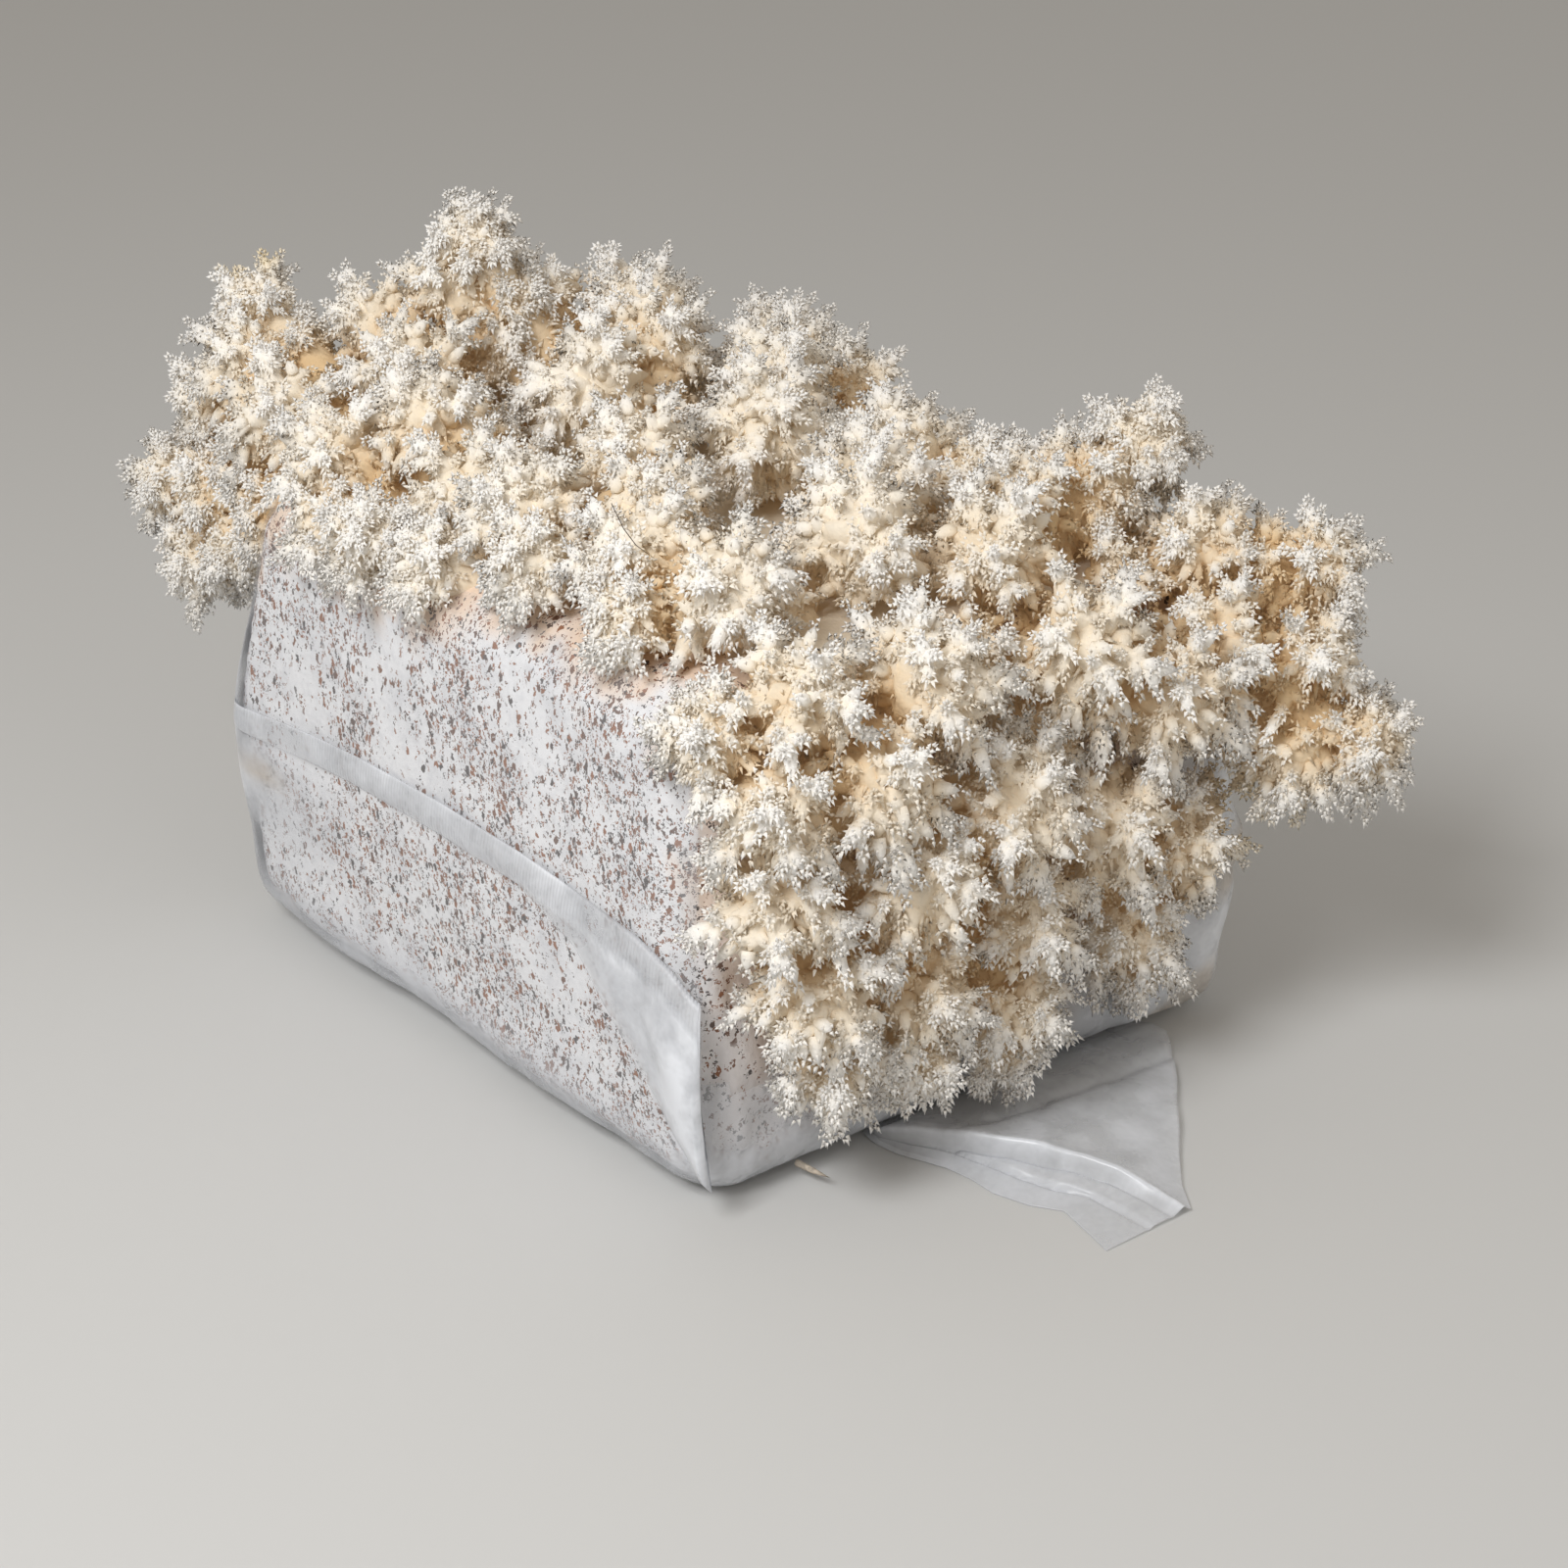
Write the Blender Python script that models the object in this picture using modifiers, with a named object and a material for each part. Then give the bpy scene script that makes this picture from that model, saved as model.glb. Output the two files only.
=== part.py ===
"""Lions mane mushroom grow kit.

A bagged block of sawdust stands on its flat bottom.  Coral-toothed lions mane has grown
out of the top and out of one end of the block, and hangs over both ends and the front.

Frame: origin at the middle of the bag's flat bottom, +X along the block to the end that
the mushroom drapes over, +Y away from the face with the sealed seam, +Z up.  Metres.
"""
import math

import bmesh
import bpy
import numpy as np
from mathutils import Vector, noise
from mathutils.bvhtree import BVHTree

# The bagged block
BAG_LENGTH = 0.203
BAG_DEPTH = 0.167
BAG_HEIGHT = 0.128
EDGE_RADIUS = 0.015
LUMP_HEIGHT = 0.0012
LUMP_SPACING = 0.045
LUMPS_START = 0.030
END_LEAN = 0.016
END_LEAN_FROM = 0.45
END_LEAN_POWER = 1.5
FACE_BULGE = 0.004

# The block is a cube's grid drawn over it.  On each face the middle is row 0 and the edge
# is row 1; the flat part ends at FLAT_ROW, and EDGE_ROW_SHARE of the edge's radius is left
# beyond the row between the two.
GRID_CUTS = 7
FLAT_ROW = 0.50
EDGE_ROW_SHARE = 0.45
ON_FACE = 0.99

# It stands on four corners: the film under it is drawn up a little between them
EDGE_RISE = 0.0002
MIDDLE_RISE = 0.00002

# The film is far thinner than this wall; the wall is what a solid model needs
FILM_WALL = 0.0006
CLEARANCE = 0.0003
BLOCK_INSET = FILM_WALL + CLEARANCE
FILM_GRIP = 0.0003

# The bag's mouth ends at these rows of the grid, where 1 is the edge of the block
MOUTH_TOP_ROW = 0.75
MOUTH_END_ROW = 0.50
MOUTH_LOW_ROW = 0.25
HALF_ROW = 0.125

# The heat-sealed seam on the near face, and the ear at its near end:
# x, height of the upper edge, height of the lower edge, how far it stands off the face
SEAM_STATIONS = [
    (-0.096, 0.066, 0.056, 0.0012),
    (-0.070, 0.067, 0.057, 0.0020),
    (-0.035, 0.069, 0.059, 0.0022),
    (0.000, 0.071, 0.060, 0.0022),
    (0.036, 0.071, 0.061, 0.0024),
    (0.058, 0.070, 0.055, 0.0030),
    (0.070, 0.069, 0.044, 0.0036),
    (0.083, 0.068, 0.031, 0.0042),
    (0.095, 0.065, 0.020, 0.0046),
    (0.104, 0.061, 0.011, 0.0046),
]
LIP_SHARE = 0.18
LIP_ROOT_LIMIT = 0.090

# The loose mouth of the bag, folded under and out over the surface:
# x, y of the front hem, y of the ridge, y of the back edge, height of the ridge
TAIL_STATIONS = [
    (0.1000, -0.034, -0.032, 0.060, 0.0050),
    (0.1060, -0.034, -0.029, 0.059, 0.0065),
    (0.1180, -0.029, -0.021, 0.050, 0.0080),
    (0.1310, -0.022, -0.011, 0.038, 0.0085),
    (0.1440, -0.016, -0.003, 0.026, 0.0070),
    (0.1560, -0.017, 0.000, 0.014, 0.0045),
    (0.1670, -0.018, 0.000, 0.004, 0.0020),
]
TAIL_WALL = 0.0006
TAIL_FLOOR_GAP = 0.0002
TAIL_ROOT_HEIGHT = 0.0040
TAIL_FOLD = 0.0016
TAIL_FOLD_PLACE = 0.45
TAIL_FOLD_HEIGHT = 0.35
# Behind the ridge: share of the way to the back edge, and share of the ridge's height
TAIL_BACK_POINTS = [(0.40, 0.55), (0.75, 0.40), (1.00, 0.20)]

# The mushroom.  Each limb is a fork of its own: first the place where it leaves the
# block, then its heads, each as x, y, z and radius.
LIMBS = {
    "left_drape": [
        (-0.070, -0.066, 0.119, 0.020), (-0.112, -0.060, 0.124, 0.019),
        (-0.134, -0.066, 0.108, 0.019), (-0.148, -0.074, 0.108, 0.013),
        (-0.136, -0.072, 0.090, 0.015)],
    "left_shoulder": [
        (-0.074, -0.046, 0.124, 0.020), (-0.098, -0.066, 0.138, 0.020),
        (-0.122, -0.060, 0.142, 0.020), (-0.138, -0.064, 0.132, 0.014),
        (-0.130, -0.054, 0.156, 0.013)],
    "left_back_drape": [
        (-0.076, -0.004, 0.118, 0.021), (-0.110, -0.024, 0.132, 0.021),
        (-0.118, -0.024, 0.108, 0.020)],
    "left_crest": [
        (-0.048, -0.032, 0.123, 0.023), (-0.074, -0.042, 0.148, 0.020),
        (-0.098, -0.034, 0.153, 0.020)],
    "left_peak": [
        (-0.062, 0.008, 0.122, 0.020), (-0.086, -0.020, 0.164, 0.019),
        (-0.082, -0.018, 0.178, 0.012), (-0.086, 0.004, 0.154, 0.020)],
    "back_left_low": [
        (-0.074, 0.042, 0.120, 0.020), (-0.104, 0.034, 0.128, 0.020),
        (-0.106, 0.048, 0.110, 0.018)],
    "back_left_high": [
        (-0.052, 0.030, 0.122, 0.022), (-0.072, 0.024, 0.152, 0.020),
        (-0.054, 0.016, 0.156, 0.018)],
    "back_corner": [
        (-0.052, 0.062, 0.121, 0.019), (-0.060, 0.066, 0.136, 0.018),
        (-0.080, 0.076, 0.116, 0.018)],
    "front_left_hang": [
        (-0.044, -0.064, 0.122, 0.018), (-0.058, -0.074, 0.138, 0.019),
        (-0.048, -0.080, 0.126, 0.014)],
    "front_left_top": [
        (-0.022, -0.038, 0.123, 0.023), (-0.044, -0.056, 0.146, 0.020),
        (-0.020, -0.062, 0.138, 0.019)],
    "middle_left": [
        (-0.028, 0.002, 0.122, 0.022), (-0.034, -0.014, 0.150, 0.022),
        (-0.040, 0.008, 0.154, 0.018)],
    "front_middle": [
        (0.006, -0.062, 0.122, 0.019), (0.010, -0.064, 0.142, 0.019),
        (0.028, -0.074, 0.138, 0.014), (-0.006, -0.080, 0.127, 0.014)],
    "centre": [
        (0.012, -0.028, 0.123, 0.023), (0.012, -0.034, 0.146, 0.021),
        (0.036, -0.048, 0.142, 0.020)],
    "centre_high": [
        (0.000, 0.026, 0.122, 0.022), (-0.014, 0.028, 0.148, 0.020),
        (0.012, 0.004, 0.148, 0.020)],
    "centre_back": [
        (0.034, 0.046, 0.121, 0.025), (0.028, 0.034, 0.138, 0.020),
        (0.046, 0.044, 0.134, 0.017), (0.038, 0.060, 0.125, 0.019),
        (0.034, 0.076, 0.110, 0.015)],
    "back_middle": [
        (-0.018, 0.054, 0.121, 0.025), (-0.034, 0.048, 0.142, 0.018),
        (-0.024, 0.062, 0.134, 0.018), (0.004, 0.062, 0.124, 0.018)],
    "right_peak": [
        (0.073, 0.024, 0.120, 0.025), (0.092, 0.008, 0.138, 0.021),
        (0.080, 0.026, 0.142, 0.017), (0.074, 0.044, 0.140, 0.018),
        (0.086, 0.060, 0.154, 0.013), (0.072, 0.060, 0.128, 0.015)],
    "front_right_top": [
        (0.052, -0.062, 0.121, 0.020), (0.054, -0.062, 0.142, 0.019),
        (0.078, -0.060, 0.142, 0.020), (0.066, -0.074, 0.136, 0.013)],
    "ridge_right": [
        (0.048, -0.012, 0.123, 0.024), (0.052, 0.004, 0.142, 0.021),
        (0.076, -0.018, 0.144, 0.021)],
    "right_corner": [
        (0.082, 0.062, 0.119, 0.019), (0.104, 0.064, 0.130, 0.018),
        (0.114, 0.078, 0.122, 0.018), (0.124, 0.082, 0.128, 0.013)],
    "right_overhang": [
        (0.092, 0.050, 0.106, 0.020), (0.120, 0.054, 0.114, 0.020),
        (0.130, 0.072, 0.108, 0.018), (0.134, 0.068, 0.090, 0.017),
        (0.146, 0.078, 0.092, 0.013)],
    "end_top_near": [
        (0.088, -0.060, 0.113, 0.021), (0.110, -0.064, 0.128, 0.019),
        (0.116, -0.074, 0.108, 0.018)],
    "end_top_middle": [
        (0.088, -0.026, 0.113, 0.023), (0.116, -0.032, 0.126, 0.021),
        (0.122, -0.050, 0.110, 0.019)],
    "end_top_far": [
        (0.090, 0.018, 0.110, 0.022), (0.116, 0.014, 0.122, 0.021),
        (0.124, 0.034, 0.108, 0.019)],
    "end_low_near": [
        (0.095, -0.056, 0.072, 0.020), (0.114, -0.072, 0.084, 0.020),
        (0.116, -0.064, 0.060, 0.019), (0.115, -0.058, 0.040, 0.014)],
    "end_middle": [
        (0.096, -0.018, 0.080, 0.022), (0.122, -0.038, 0.082, 0.020),
        (0.122, -0.012, 0.092, 0.020)],
    "end_low_middle": [
        (0.096, -0.014, 0.054, 0.021), (0.116, -0.034, 0.052, 0.018),
        (0.114, -0.032, 0.033, 0.013), (0.118, -0.004, 0.062, 0.018),
        (0.114, -0.004, 0.038, 0.017), (0.111, -0.002, 0.025, 0.012)],
    "end_low_far": [
        (0.096, 0.032, 0.068, 0.022), (0.118, 0.022, 0.076, 0.020),
        (0.117, 0.046, 0.064, 0.018), (0.113, 0.036, 0.044, 0.016),
        (0.109, 0.043, 0.031, 0.012)],
}
CORE_SHARE = 0.80
TUFT_SHARE = 0.40
TUFT_REACH = 0.64
TUFTS_PER_HEAD = 9
GOLDEN_ANGLE = math.pi * (3.0 - math.sqrt(5.0))
HEAD_TURN = 1.7
STEM_SHARE = 0.62
STEM_SIDES = 10
SKIN_CELL = 0.0026
FACES_PER_HEAD = 52

# How the limbs are parted from one another
LIMB_GAP = 0.0003
ROOT_SHARE = 0.0060
HEAD_WEIGHT = 0.7
NEIGHBOUR_REACH = 0.110
LEAST_ISLAND = 0.25

TINY = 0.00002
FLAT_ANGLE = math.radians(1.5)

# Colours, as linear red, green and blue
SUBSTRATE_COLOUR = (0.62, 0.57, 0.54, 1.0)
FILM_COLOUR = (0.70, 0.72, 0.75, 1.0)
MUSHROOM_COLOUR = (0.80, 0.70, 0.55, 1.0)


def clear_scene():
    """Remove what a new file starts with."""
    for old in list(bpy.data.objects):
        bpy.data.objects.remove(old, do_unlink=True)


def new_collection(name):
    """Make a collection in the scene."""
    collection = bpy.data.collections.new(name)
    bpy.context.scene.collection.children.link(collection)
    return collection


def make_material(name, colour, roughness):
    """A Principled material of one colour."""
    material = bpy.data.materials.new(name)
    material.use_nodes = True
    shader = material.node_tree.nodes["Principled BSDF"]
    shader.inputs["Base Color"].default_value = colour
    shader.inputs["Roughness"].default_value = roughness
    shader.inputs["Metallic"].default_value = 0.0
    material.diffuse_color = colour
    return material


def object_from(bm, name, collection):
    """Turn a bmesh into an object and free it."""
    mesh = bpy.data.meshes.new(name)
    bm.to_mesh(mesh)
    bm.free()
    made = bpy.data.objects.new(name, mesh)
    collection.objects.link(made)
    return made


def make_cutter(made):
    """Keep a helper out of the model."""
    made.hide_render = True
    made.display_type = "WIRE"
    return made


def evaluated_bmesh(source):
    """Read an object's mesh as its modifiers leave it."""
    bpy.context.view_layer.update()
    graph = bpy.context.evaluated_depsgraph_get()
    mesh = bpy.data.meshes.new_from_object(source.evaluated_get(graph))
    bm = bmesh.new()
    bm.from_mesh(mesh)
    bpy.data.meshes.remove(mesh)
    return bm


def keep_island_near(bm, place):
    """Drop every loose bit except the large one nearest the place."""
    unseen = set(bm.verts)
    islands = []
    while unseen:
        front = [unseen.pop()]
        island = set(front)
        while front:
            vertex = front.pop()
            for edge in vertex.link_edges:
                other = edge.other_vert(vertex)
                if other in unseen:
                    unseen.remove(other)
                    island.add(other)
                    front.append(other)
        islands.append(island)
    largest = max(len(island) for island in islands)
    big = [island for island in islands if len(island) > largest * LEAST_ISLAND]
    kept = min(big, key=lambda island: min((v.co - place).length for v in island))
    drop = [vertex for vertex in bm.verts if vertex not in kept]
    bmesh.ops.delete(bm, geom=drop, context="VERTS")


def tidy_solid(bm):
    """Merge what coincides, join what is flat and make every face a triangle."""
    bmesh.ops.remove_doubles(bm, verts=bm.verts, dist=TINY)
    bmesh.ops.dissolve_limit(bm, angle_limit=FLAT_ANGLE, verts=bm.verts, edges=bm.edges)
    bmesh.ops.dissolve_degenerate(bm, edges=bm.edges, dist=TINY)
    bmesh.ops.triangulate(bm, faces=bm.faces, quad_method="BEAUTY", ngon_method="BEAUTY")
    bmesh.ops.recalc_face_normals(bm, faces=bm.faces)


# The bagged block

def grid_place(share, half):
    """Spread the rows of the grid so that they gather along the rounded edges."""
    rows = [0.0, FLAT_ROW, (1.0 + FLAT_ROW) / 2.0, 1.0]
    places = [0.0, half - EDGE_RADIUS, half - EDGE_ROW_SHARE * EDGE_RADIUS, half]
    return math.copysign(np.interp(abs(share), rows, places), share)


def underside_rise(corner):
    """How far the underside is drawn up at a point of the grid."""
    furthest = max(abs(corner.x), abs(corner.y))
    nearest = min(abs(corner.x), abs(corner.y))
    if corner.z > -ON_FACE or furthest > FLAT_ROW or nearest == FLAT_ROW:
        return 0.0
    return EDGE_RISE if furthest == FLAT_ROW else MIDDLE_RISE


def brick_point(corner, offset):
    """Point of the bagged block's surface, moved out along its normal by the offset."""
    halves = (BAG_LENGTH / 2.0, BAG_DEPTH / 2.0, BAG_HEIGHT / 2.0)
    on_box = Vector([grid_place(corner[i], halves[i]) for i in range(3)])
    inner = Vector([
        max(-(halves[i] - EDGE_RADIUS), min(halves[i] - EDGE_RADIUS, on_box[i])) for i in range(3)])
    normal = (on_box - inner).normalized()
    point = inner + normal * EDGE_RADIUS
    above_floor = min(1.0, max(0.0, (point.z + halves[2]) / LUMPS_START))
    height = (point.z + halves[2]) / BAG_HEIGHT
    lean = max(0.0, (height - END_LEAN_FROM) / (1.0 - END_LEAN_FROM)) ** END_LEAN_POWER
    belly = max(0.0, 4.0 * height * (1.0 - height))
    shift = Vector((
        END_LEAN * lean * max(0.0, -point.x / halves[0]) ** 2,
        -FACE_BULGE * belly * max(0.0, -point.y / halves[1]) ** 3,
        halves[2] + underside_rise(corner)))
    lumps = noise.noise(point / LUMP_SPACING) * LUMP_HEIGHT * above_floor
    return point + shift + normal * (offset + lumps)


def mouth_sides(corner, rim_share):
    """Whether a grid point is in the mouth, for each of the top and the +X end it lies on."""
    sides = []
    if corner.z > ON_FACE:
        along = corner.x > -MOUTH_TOP_ROW - rim_share
        sides.append(along and abs(corner.y) < MOUTH_TOP_ROW + rim_share)
    if corner.x > ON_FACE:
        high = corner.z > -MOUTH_LOW_ROW - rim_share
        sides.append(high and abs(corner.y) < MOUTH_END_ROW + rim_share)
    return sides


def is_open(face):
    """True for a face of the grid that the mouth takes away."""
    return all(any(mouth_sides(vertex.co, HALF_ROW)) for vertex in face.verts)


def well_inside_mouth(corner):
    """True for a grid point of the mouth that isn't on its rim."""
    sides = mouth_sides(corner, -HALF_ROW)
    return bool(sides) and all(sides)


def brick(offset, mouth_offset=None):
    """Closed surface of the bagged block; the mouth may have an offset of its own."""
    bm = bmesh.new()
    bmesh.ops.create_cube(bm, size=2.0)
    bmesh.ops.subdivide_edges(bm, edges=bm.edges, cuts=GRID_CUTS, use_grid_fill=True)
    for vertex in bm.verts:
        use = offset
        if mouth_offset is not None and well_inside_mouth(vertex.co):
            use = mouth_offset
        vertex.co = brick_point(vertex.co, use)
    return bm


def film_shell():
    """The film around the block, open at the mouth, before it gets its wall."""
    bm = bmesh.new()
    bmesh.ops.create_cube(bm, size=2.0)
    bmesh.ops.subdivide_edges(bm, edges=bm.edges, cuts=GRID_CUTS, use_grid_fill=True)
    open_faces = [face for face in bm.faces if is_open(face)]
    bmesh.ops.delete(bm, geom=open_faces, context="FACES")
    for vertex in bm.verts:
        vertex.co = brick_point(vertex.co, 0.0)
    return bm


def gripped(surface, point):
    """The nearest place in the film's wall, a little under its outer face."""
    place, normal, _, _ = surface.find_nearest(Vector(point))
    return place - normal * FILM_GRIP


def seam_and_ear(surface):
    """Wedge loft: each section has an upper root, a lower root and a proud lip."""
    bm = bmesh.new()
    sections = []
    for x, upper, lower, proud in SEAM_STATIONS:
        face_y = -BAG_DEPTH / 2.0
        top_root = gripped(surface, (x, face_y - FACE_BULGE, upper))
        low_root = gripped(surface, (x, face_y - FACE_BULGE, lower))
        lip_height = lower + LIP_SHARE * (upper - lower)
        behind_lip = Vector((min(x, LIP_ROOT_LIMIT), face_y, lip_height))
        lip_root, _, _, _ = surface.find_nearest(behind_lip)
        lip = Vector((x, lip_root.y - proud, lip_height))
        sections.append([bm.verts.new(point) for point in (top_root, lip, low_root)])
    for first, second in zip(sections, sections[1:]):
        for i in range(3):
            j = (i + 1) % 3
            bm.faces.new((first[i], first[j], second[j], second[i]))
    bm.faces.new(sections[0][::-1])
    bm.faces.new(sections[-1])
    bmesh.ops.triangulate(bm, faces=bm.faces)
    bmesh.ops.recalc_face_normals(bm, faces=bm.faces)
    return bm


def tail_sheet(surface):
    """Open sheet of the folded mouth: hem, fold, ridge and back edge along each station."""
    bm = bmesh.new()
    rows = []
    for number, (x, hem, ridge, back, ridge_height) in enumerate(TAIL_STATIONS):
        floor = TAIL_FLOOR_GAP
        fold_y = hem + TAIL_FOLD_PLACE * (ridge - hem)
        fold_height = TAIL_FOLD_HEIGHT * ridge_height + TAIL_FOLD * (number % 2)
        points = [(x, hem, floor), (x, fold_y, floor + fold_height), (x, ridge, floor + ridge_height)]
        for way, height in TAIL_BACK_POINTS:
            points.append((x, ridge + way * (back - ridge), floor + height * ridge_height))
        if number == 0:
            points = [gripped(surface, (x, y, TAIL_ROOT_HEIGHT)) for _, y, _ in points]
        rows.append([bm.verts.new(point) for point in points])
    for first, second in zip(rows, rows[1:]):
        for i in range(len(first) - 1):
            bm.faces.new((first[i], second[i], second[i + 1], first[i + 1]))
    bmesh.ops.recalc_face_normals(bm, faces=bm.faces)
    if sum(face.normal.z for face in bm.faces) < 0.0:
        bmesh.ops.reverse_faces(bm, faces=bm.faces)
    return bm


def add_solidify(made, wall, side):
    """Give an open sheet its wall; side -1 grows it inward and +1 outward."""
    modifier = made.modifiers.new("wall", "SOLIDIFY")
    modifier.thickness = wall
    modifier.offset = side
    modifier.use_even_offset = True


def add_boolean(made, other, operation):
    """Join or cut with another closed solid."""
    modifier = made.modifiers.new(other.name, "BOOLEAN")
    modifier.operation = operation
    modifier.solver = "EXACT"
    modifier.object = other


def make_block(kit):
    """The colonised sawdust block."""
    made = object_from(brick(-BLOCK_INSET), "substrate_block", kit)
    made.data.materials.append(make_material("substrate", SUBSTRATE_COLOUR, 0.85))
    return made


def outside_the_wall(made, middle_of_wall, cutters):
    """The piece cut back to the middle of the film's wall, as a mesh of its own."""
    add_boolean(made, middle_of_wall, "DIFFERENCE")
    bm = evaluated_bmesh(made)
    tidy_solid(bm)
    return make_cutter(object_from(bm, made.name + "_outside", cutters))


def make_bag(kit, cutters):
    """The film bag: walls, sealed seam with its ear, and the mouth folded under."""
    outside = brick(0.0)
    surface = BVHTree.FromBMesh(outside)
    outside.free()
    middle_of_wall = make_cutter(object_from(brick(-FILM_GRIP), "middle_of_wall", cutters))
    seam = make_cutter(object_from(seam_and_ear(surface), "seam_and_ear", cutters))
    tail = make_cutter(object_from(tail_sheet(surface), "folded_mouth", cutters))
    add_solidify(tail, TAIL_WALL, 1.0)
    made = object_from(film_shell(), "grow_bag", kit)
    add_solidify(made, FILM_WALL, -1.0)
    for extra in (seam, tail):
        add_boolean(made, outside_the_wall(extra, middle_of_wall, cutters), "UNION")
    made.data.materials.append(make_material("film", FILM_COLOUR, 0.30))
    return made


# The mushroom

def add_ball(bm, place, radius, divisions):
    """One round lump."""
    made = bmesh.ops.create_icosphere(bm, subdivisions=divisions, radius=radius)
    bmesh.ops.translate(bm, verts=made["verts"], vec=place)


def add_stem(bm, start, end, start_radius, end_radius):
    """A tapered stem between two places."""
    axis = end - start
    made = bmesh.ops.create_cone(
        bm, cap_ends=True, segments=STEM_SIDES, radius1=start_radius, radius2=end_radius,
        depth=axis.length)
    turn = Vector((0.0, 0.0, 1.0)).rotation_difference(axis)
    bmesh.ops.rotate(bm, verts=made["verts"], cent=(0.0, 0.0, 0.0), matrix=turn.to_matrix())
    bmesh.ops.translate(bm, verts=made["verts"], vec=(start + end) / 2.0)


def add_head(bm, place, radius, turn):
    """A knobbly head: a core with tufts set around it on a spiral."""
    add_ball(bm, place, radius * CORE_SHARE, 2)
    for i in range(TUFTS_PER_HEAD):
        height = 1.0 - 2.0 * (i + 0.5) / TUFTS_PER_HEAD
        ring = math.sqrt(1.0 - height * height)
        angle = turn + i * GOLDEN_ANGLE
        outward = Vector((ring * math.cos(angle), ring * math.sin(angle), height))
        add_ball(bm, place + outward * radius * TUFT_REACH, radius * TUFT_SHARE, 1)


def limb_form(name, number, cutters):
    """Stems and heads of one limb, fused in one skin and thinned to few faces."""
    spots = [(Vector(spot[:3]), spot[3]) for spot in LIMBS[name]]
    root, root_radius = spots[0]
    bm = bmesh.new()
    add_ball(bm, root, root_radius, 2)
    for i, (place, radius) in enumerate(spots[1:]):
        add_head(bm, place, radius, number + HEAD_TURN * i)
        add_stem(bm, root, place, root_radius * STEM_SHARE, radius * STEM_SHARE)
    rough = make_cutter(object_from(bm, name + "_form", cutters))
    skin = rough.modifiers.new("skin", "REMESH")
    skin.mode = "VOXEL"
    skin.voxel_size = SKIN_CELL
    dense = evaluated_bmesh(rough)
    share = FACES_PER_HEAD * len(spots) / sum(len(face.verts) - 2 for face in dense.faces)
    dense.free()
    thin = rough.modifiers.new("thin", "DECIMATE")
    thin.ratio = share
    thinned = evaluated_bmesh(rough)
    bpy.data.objects.remove(rough, do_unlink=True)
    return thinned


def limb_middle(spots):
    """Middle of a limb, its heads weighed by size."""
    total = sum(radius ** 3 for _, radius in spots)
    return sum((place * radius ** 3 for place, radius in spots), Vector()) / total


def parting_plane(first, second):
    """Point and normal of the plane between two limbs that costs both of them least.

    The two places where the limbs leave the block stay on their own sides of it."""
    first_root = first[0][0]
    second_root = second[0][0]
    directions = [(second_root - first_root).normalized(),
                  (limb_middle(second) - limb_middle(first)).normalized()]
    for place, _ in first:
        for other, _ in second:
            directions.append((other - place).normalized())
    best = None
    for normal in directions:
        near_root = normal.dot(first_root) + ROOT_SHARE
        far_root = normal.dot(second_root) - ROOT_SHARE
        if near_root > far_root:
            continue
        reach = max(normal.dot(place) + HEAD_WEIGHT * radius for place, radius in first)
        start = min(normal.dot(place) - HEAD_WEIGHT * radius for place, radius in second)
        level = min(max((reach + start) / 2.0, near_root), far_root)
        if best is None or reach - start < best[0]:
            best = (reach - start, normal, level)
    _, normal, level = best
    return normal * (level - LIMB_GAP / 2.0), normal


def cut_by_plane(bm, point, normal):
    """Cut off what lies beyond the plane and close the cut."""
    beyond = [v for v in bm.verts if normal.dot(v.co - point) > 0.0]
    if not beyond:
        return
    parts = list(bm.verts) + list(bm.edges) + list(bm.faces)
    bmesh.ops.bisect_plane(
        bm, geom=parts, plane_co=point, plane_no=normal, clear_outer=True, dist=TINY)
    rim = [edge for edge in bm.edges if edge.is_boundary]
    bmesh.ops.holes_fill(bm, edges=rim, sides=0)
    bmesh.ops.triangulate(bm, faces=bm.faces, ngon_method="EAR_CLIP")


def make_limb(name, number, kit, cutters, block_clearance):
    """One limb: formed, parted from its neighbours and seated on the block."""
    spots = [(Vector(spot[:3]), spot[3]) for spot in LIMBS[name]]
    root = spots[0][0]
    bm = limb_form(name, number, cutters)
    for other in LIMBS:
        if other != name:
            others = [(Vector(spot[:3]), spot[3]) for spot in LIMBS[other]]
            if (limb_middle(others) - limb_middle(spots)).length < NEIGHBOUR_REACH:
                cut_by_plane(bm, *parting_plane(spots, others))
    keep_island_near(bm, root)
    tidy_solid(bm)
    rough = make_cutter(object_from(bm, name + "_rough", cutters))
    add_boolean(rough, block_clearance, "DIFFERENCE")
    seated = evaluated_bmesh(rough)
    bpy.data.objects.remove(rough, do_unlink=True)
    keep_island_near(seated, root)
    tidy_solid(seated)
    made = object_from(seated, name, kit)
    made.data.materials.append(make_material("mushroom_" + name, MUSHROOM_COLOUR, 0.75))
    return made


def build():
    """Build the whole kit."""
    clear_scene()
    kit = new_collection("lions_mane_mushroom_grow_kit")
    cutters = new_collection("cutters")
    make_block(kit)
    make_bag(kit, cutters)
    clearance = make_cutter(object_from(
        brick(CLEARANCE, mouth_offset=CLEARANCE - BLOCK_INSET), "block_clearance", cutters))
    for number, name in enumerate(LIMBS):
        make_limb(name, number, kit, cutters, clearance)


build()
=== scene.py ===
import math

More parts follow.
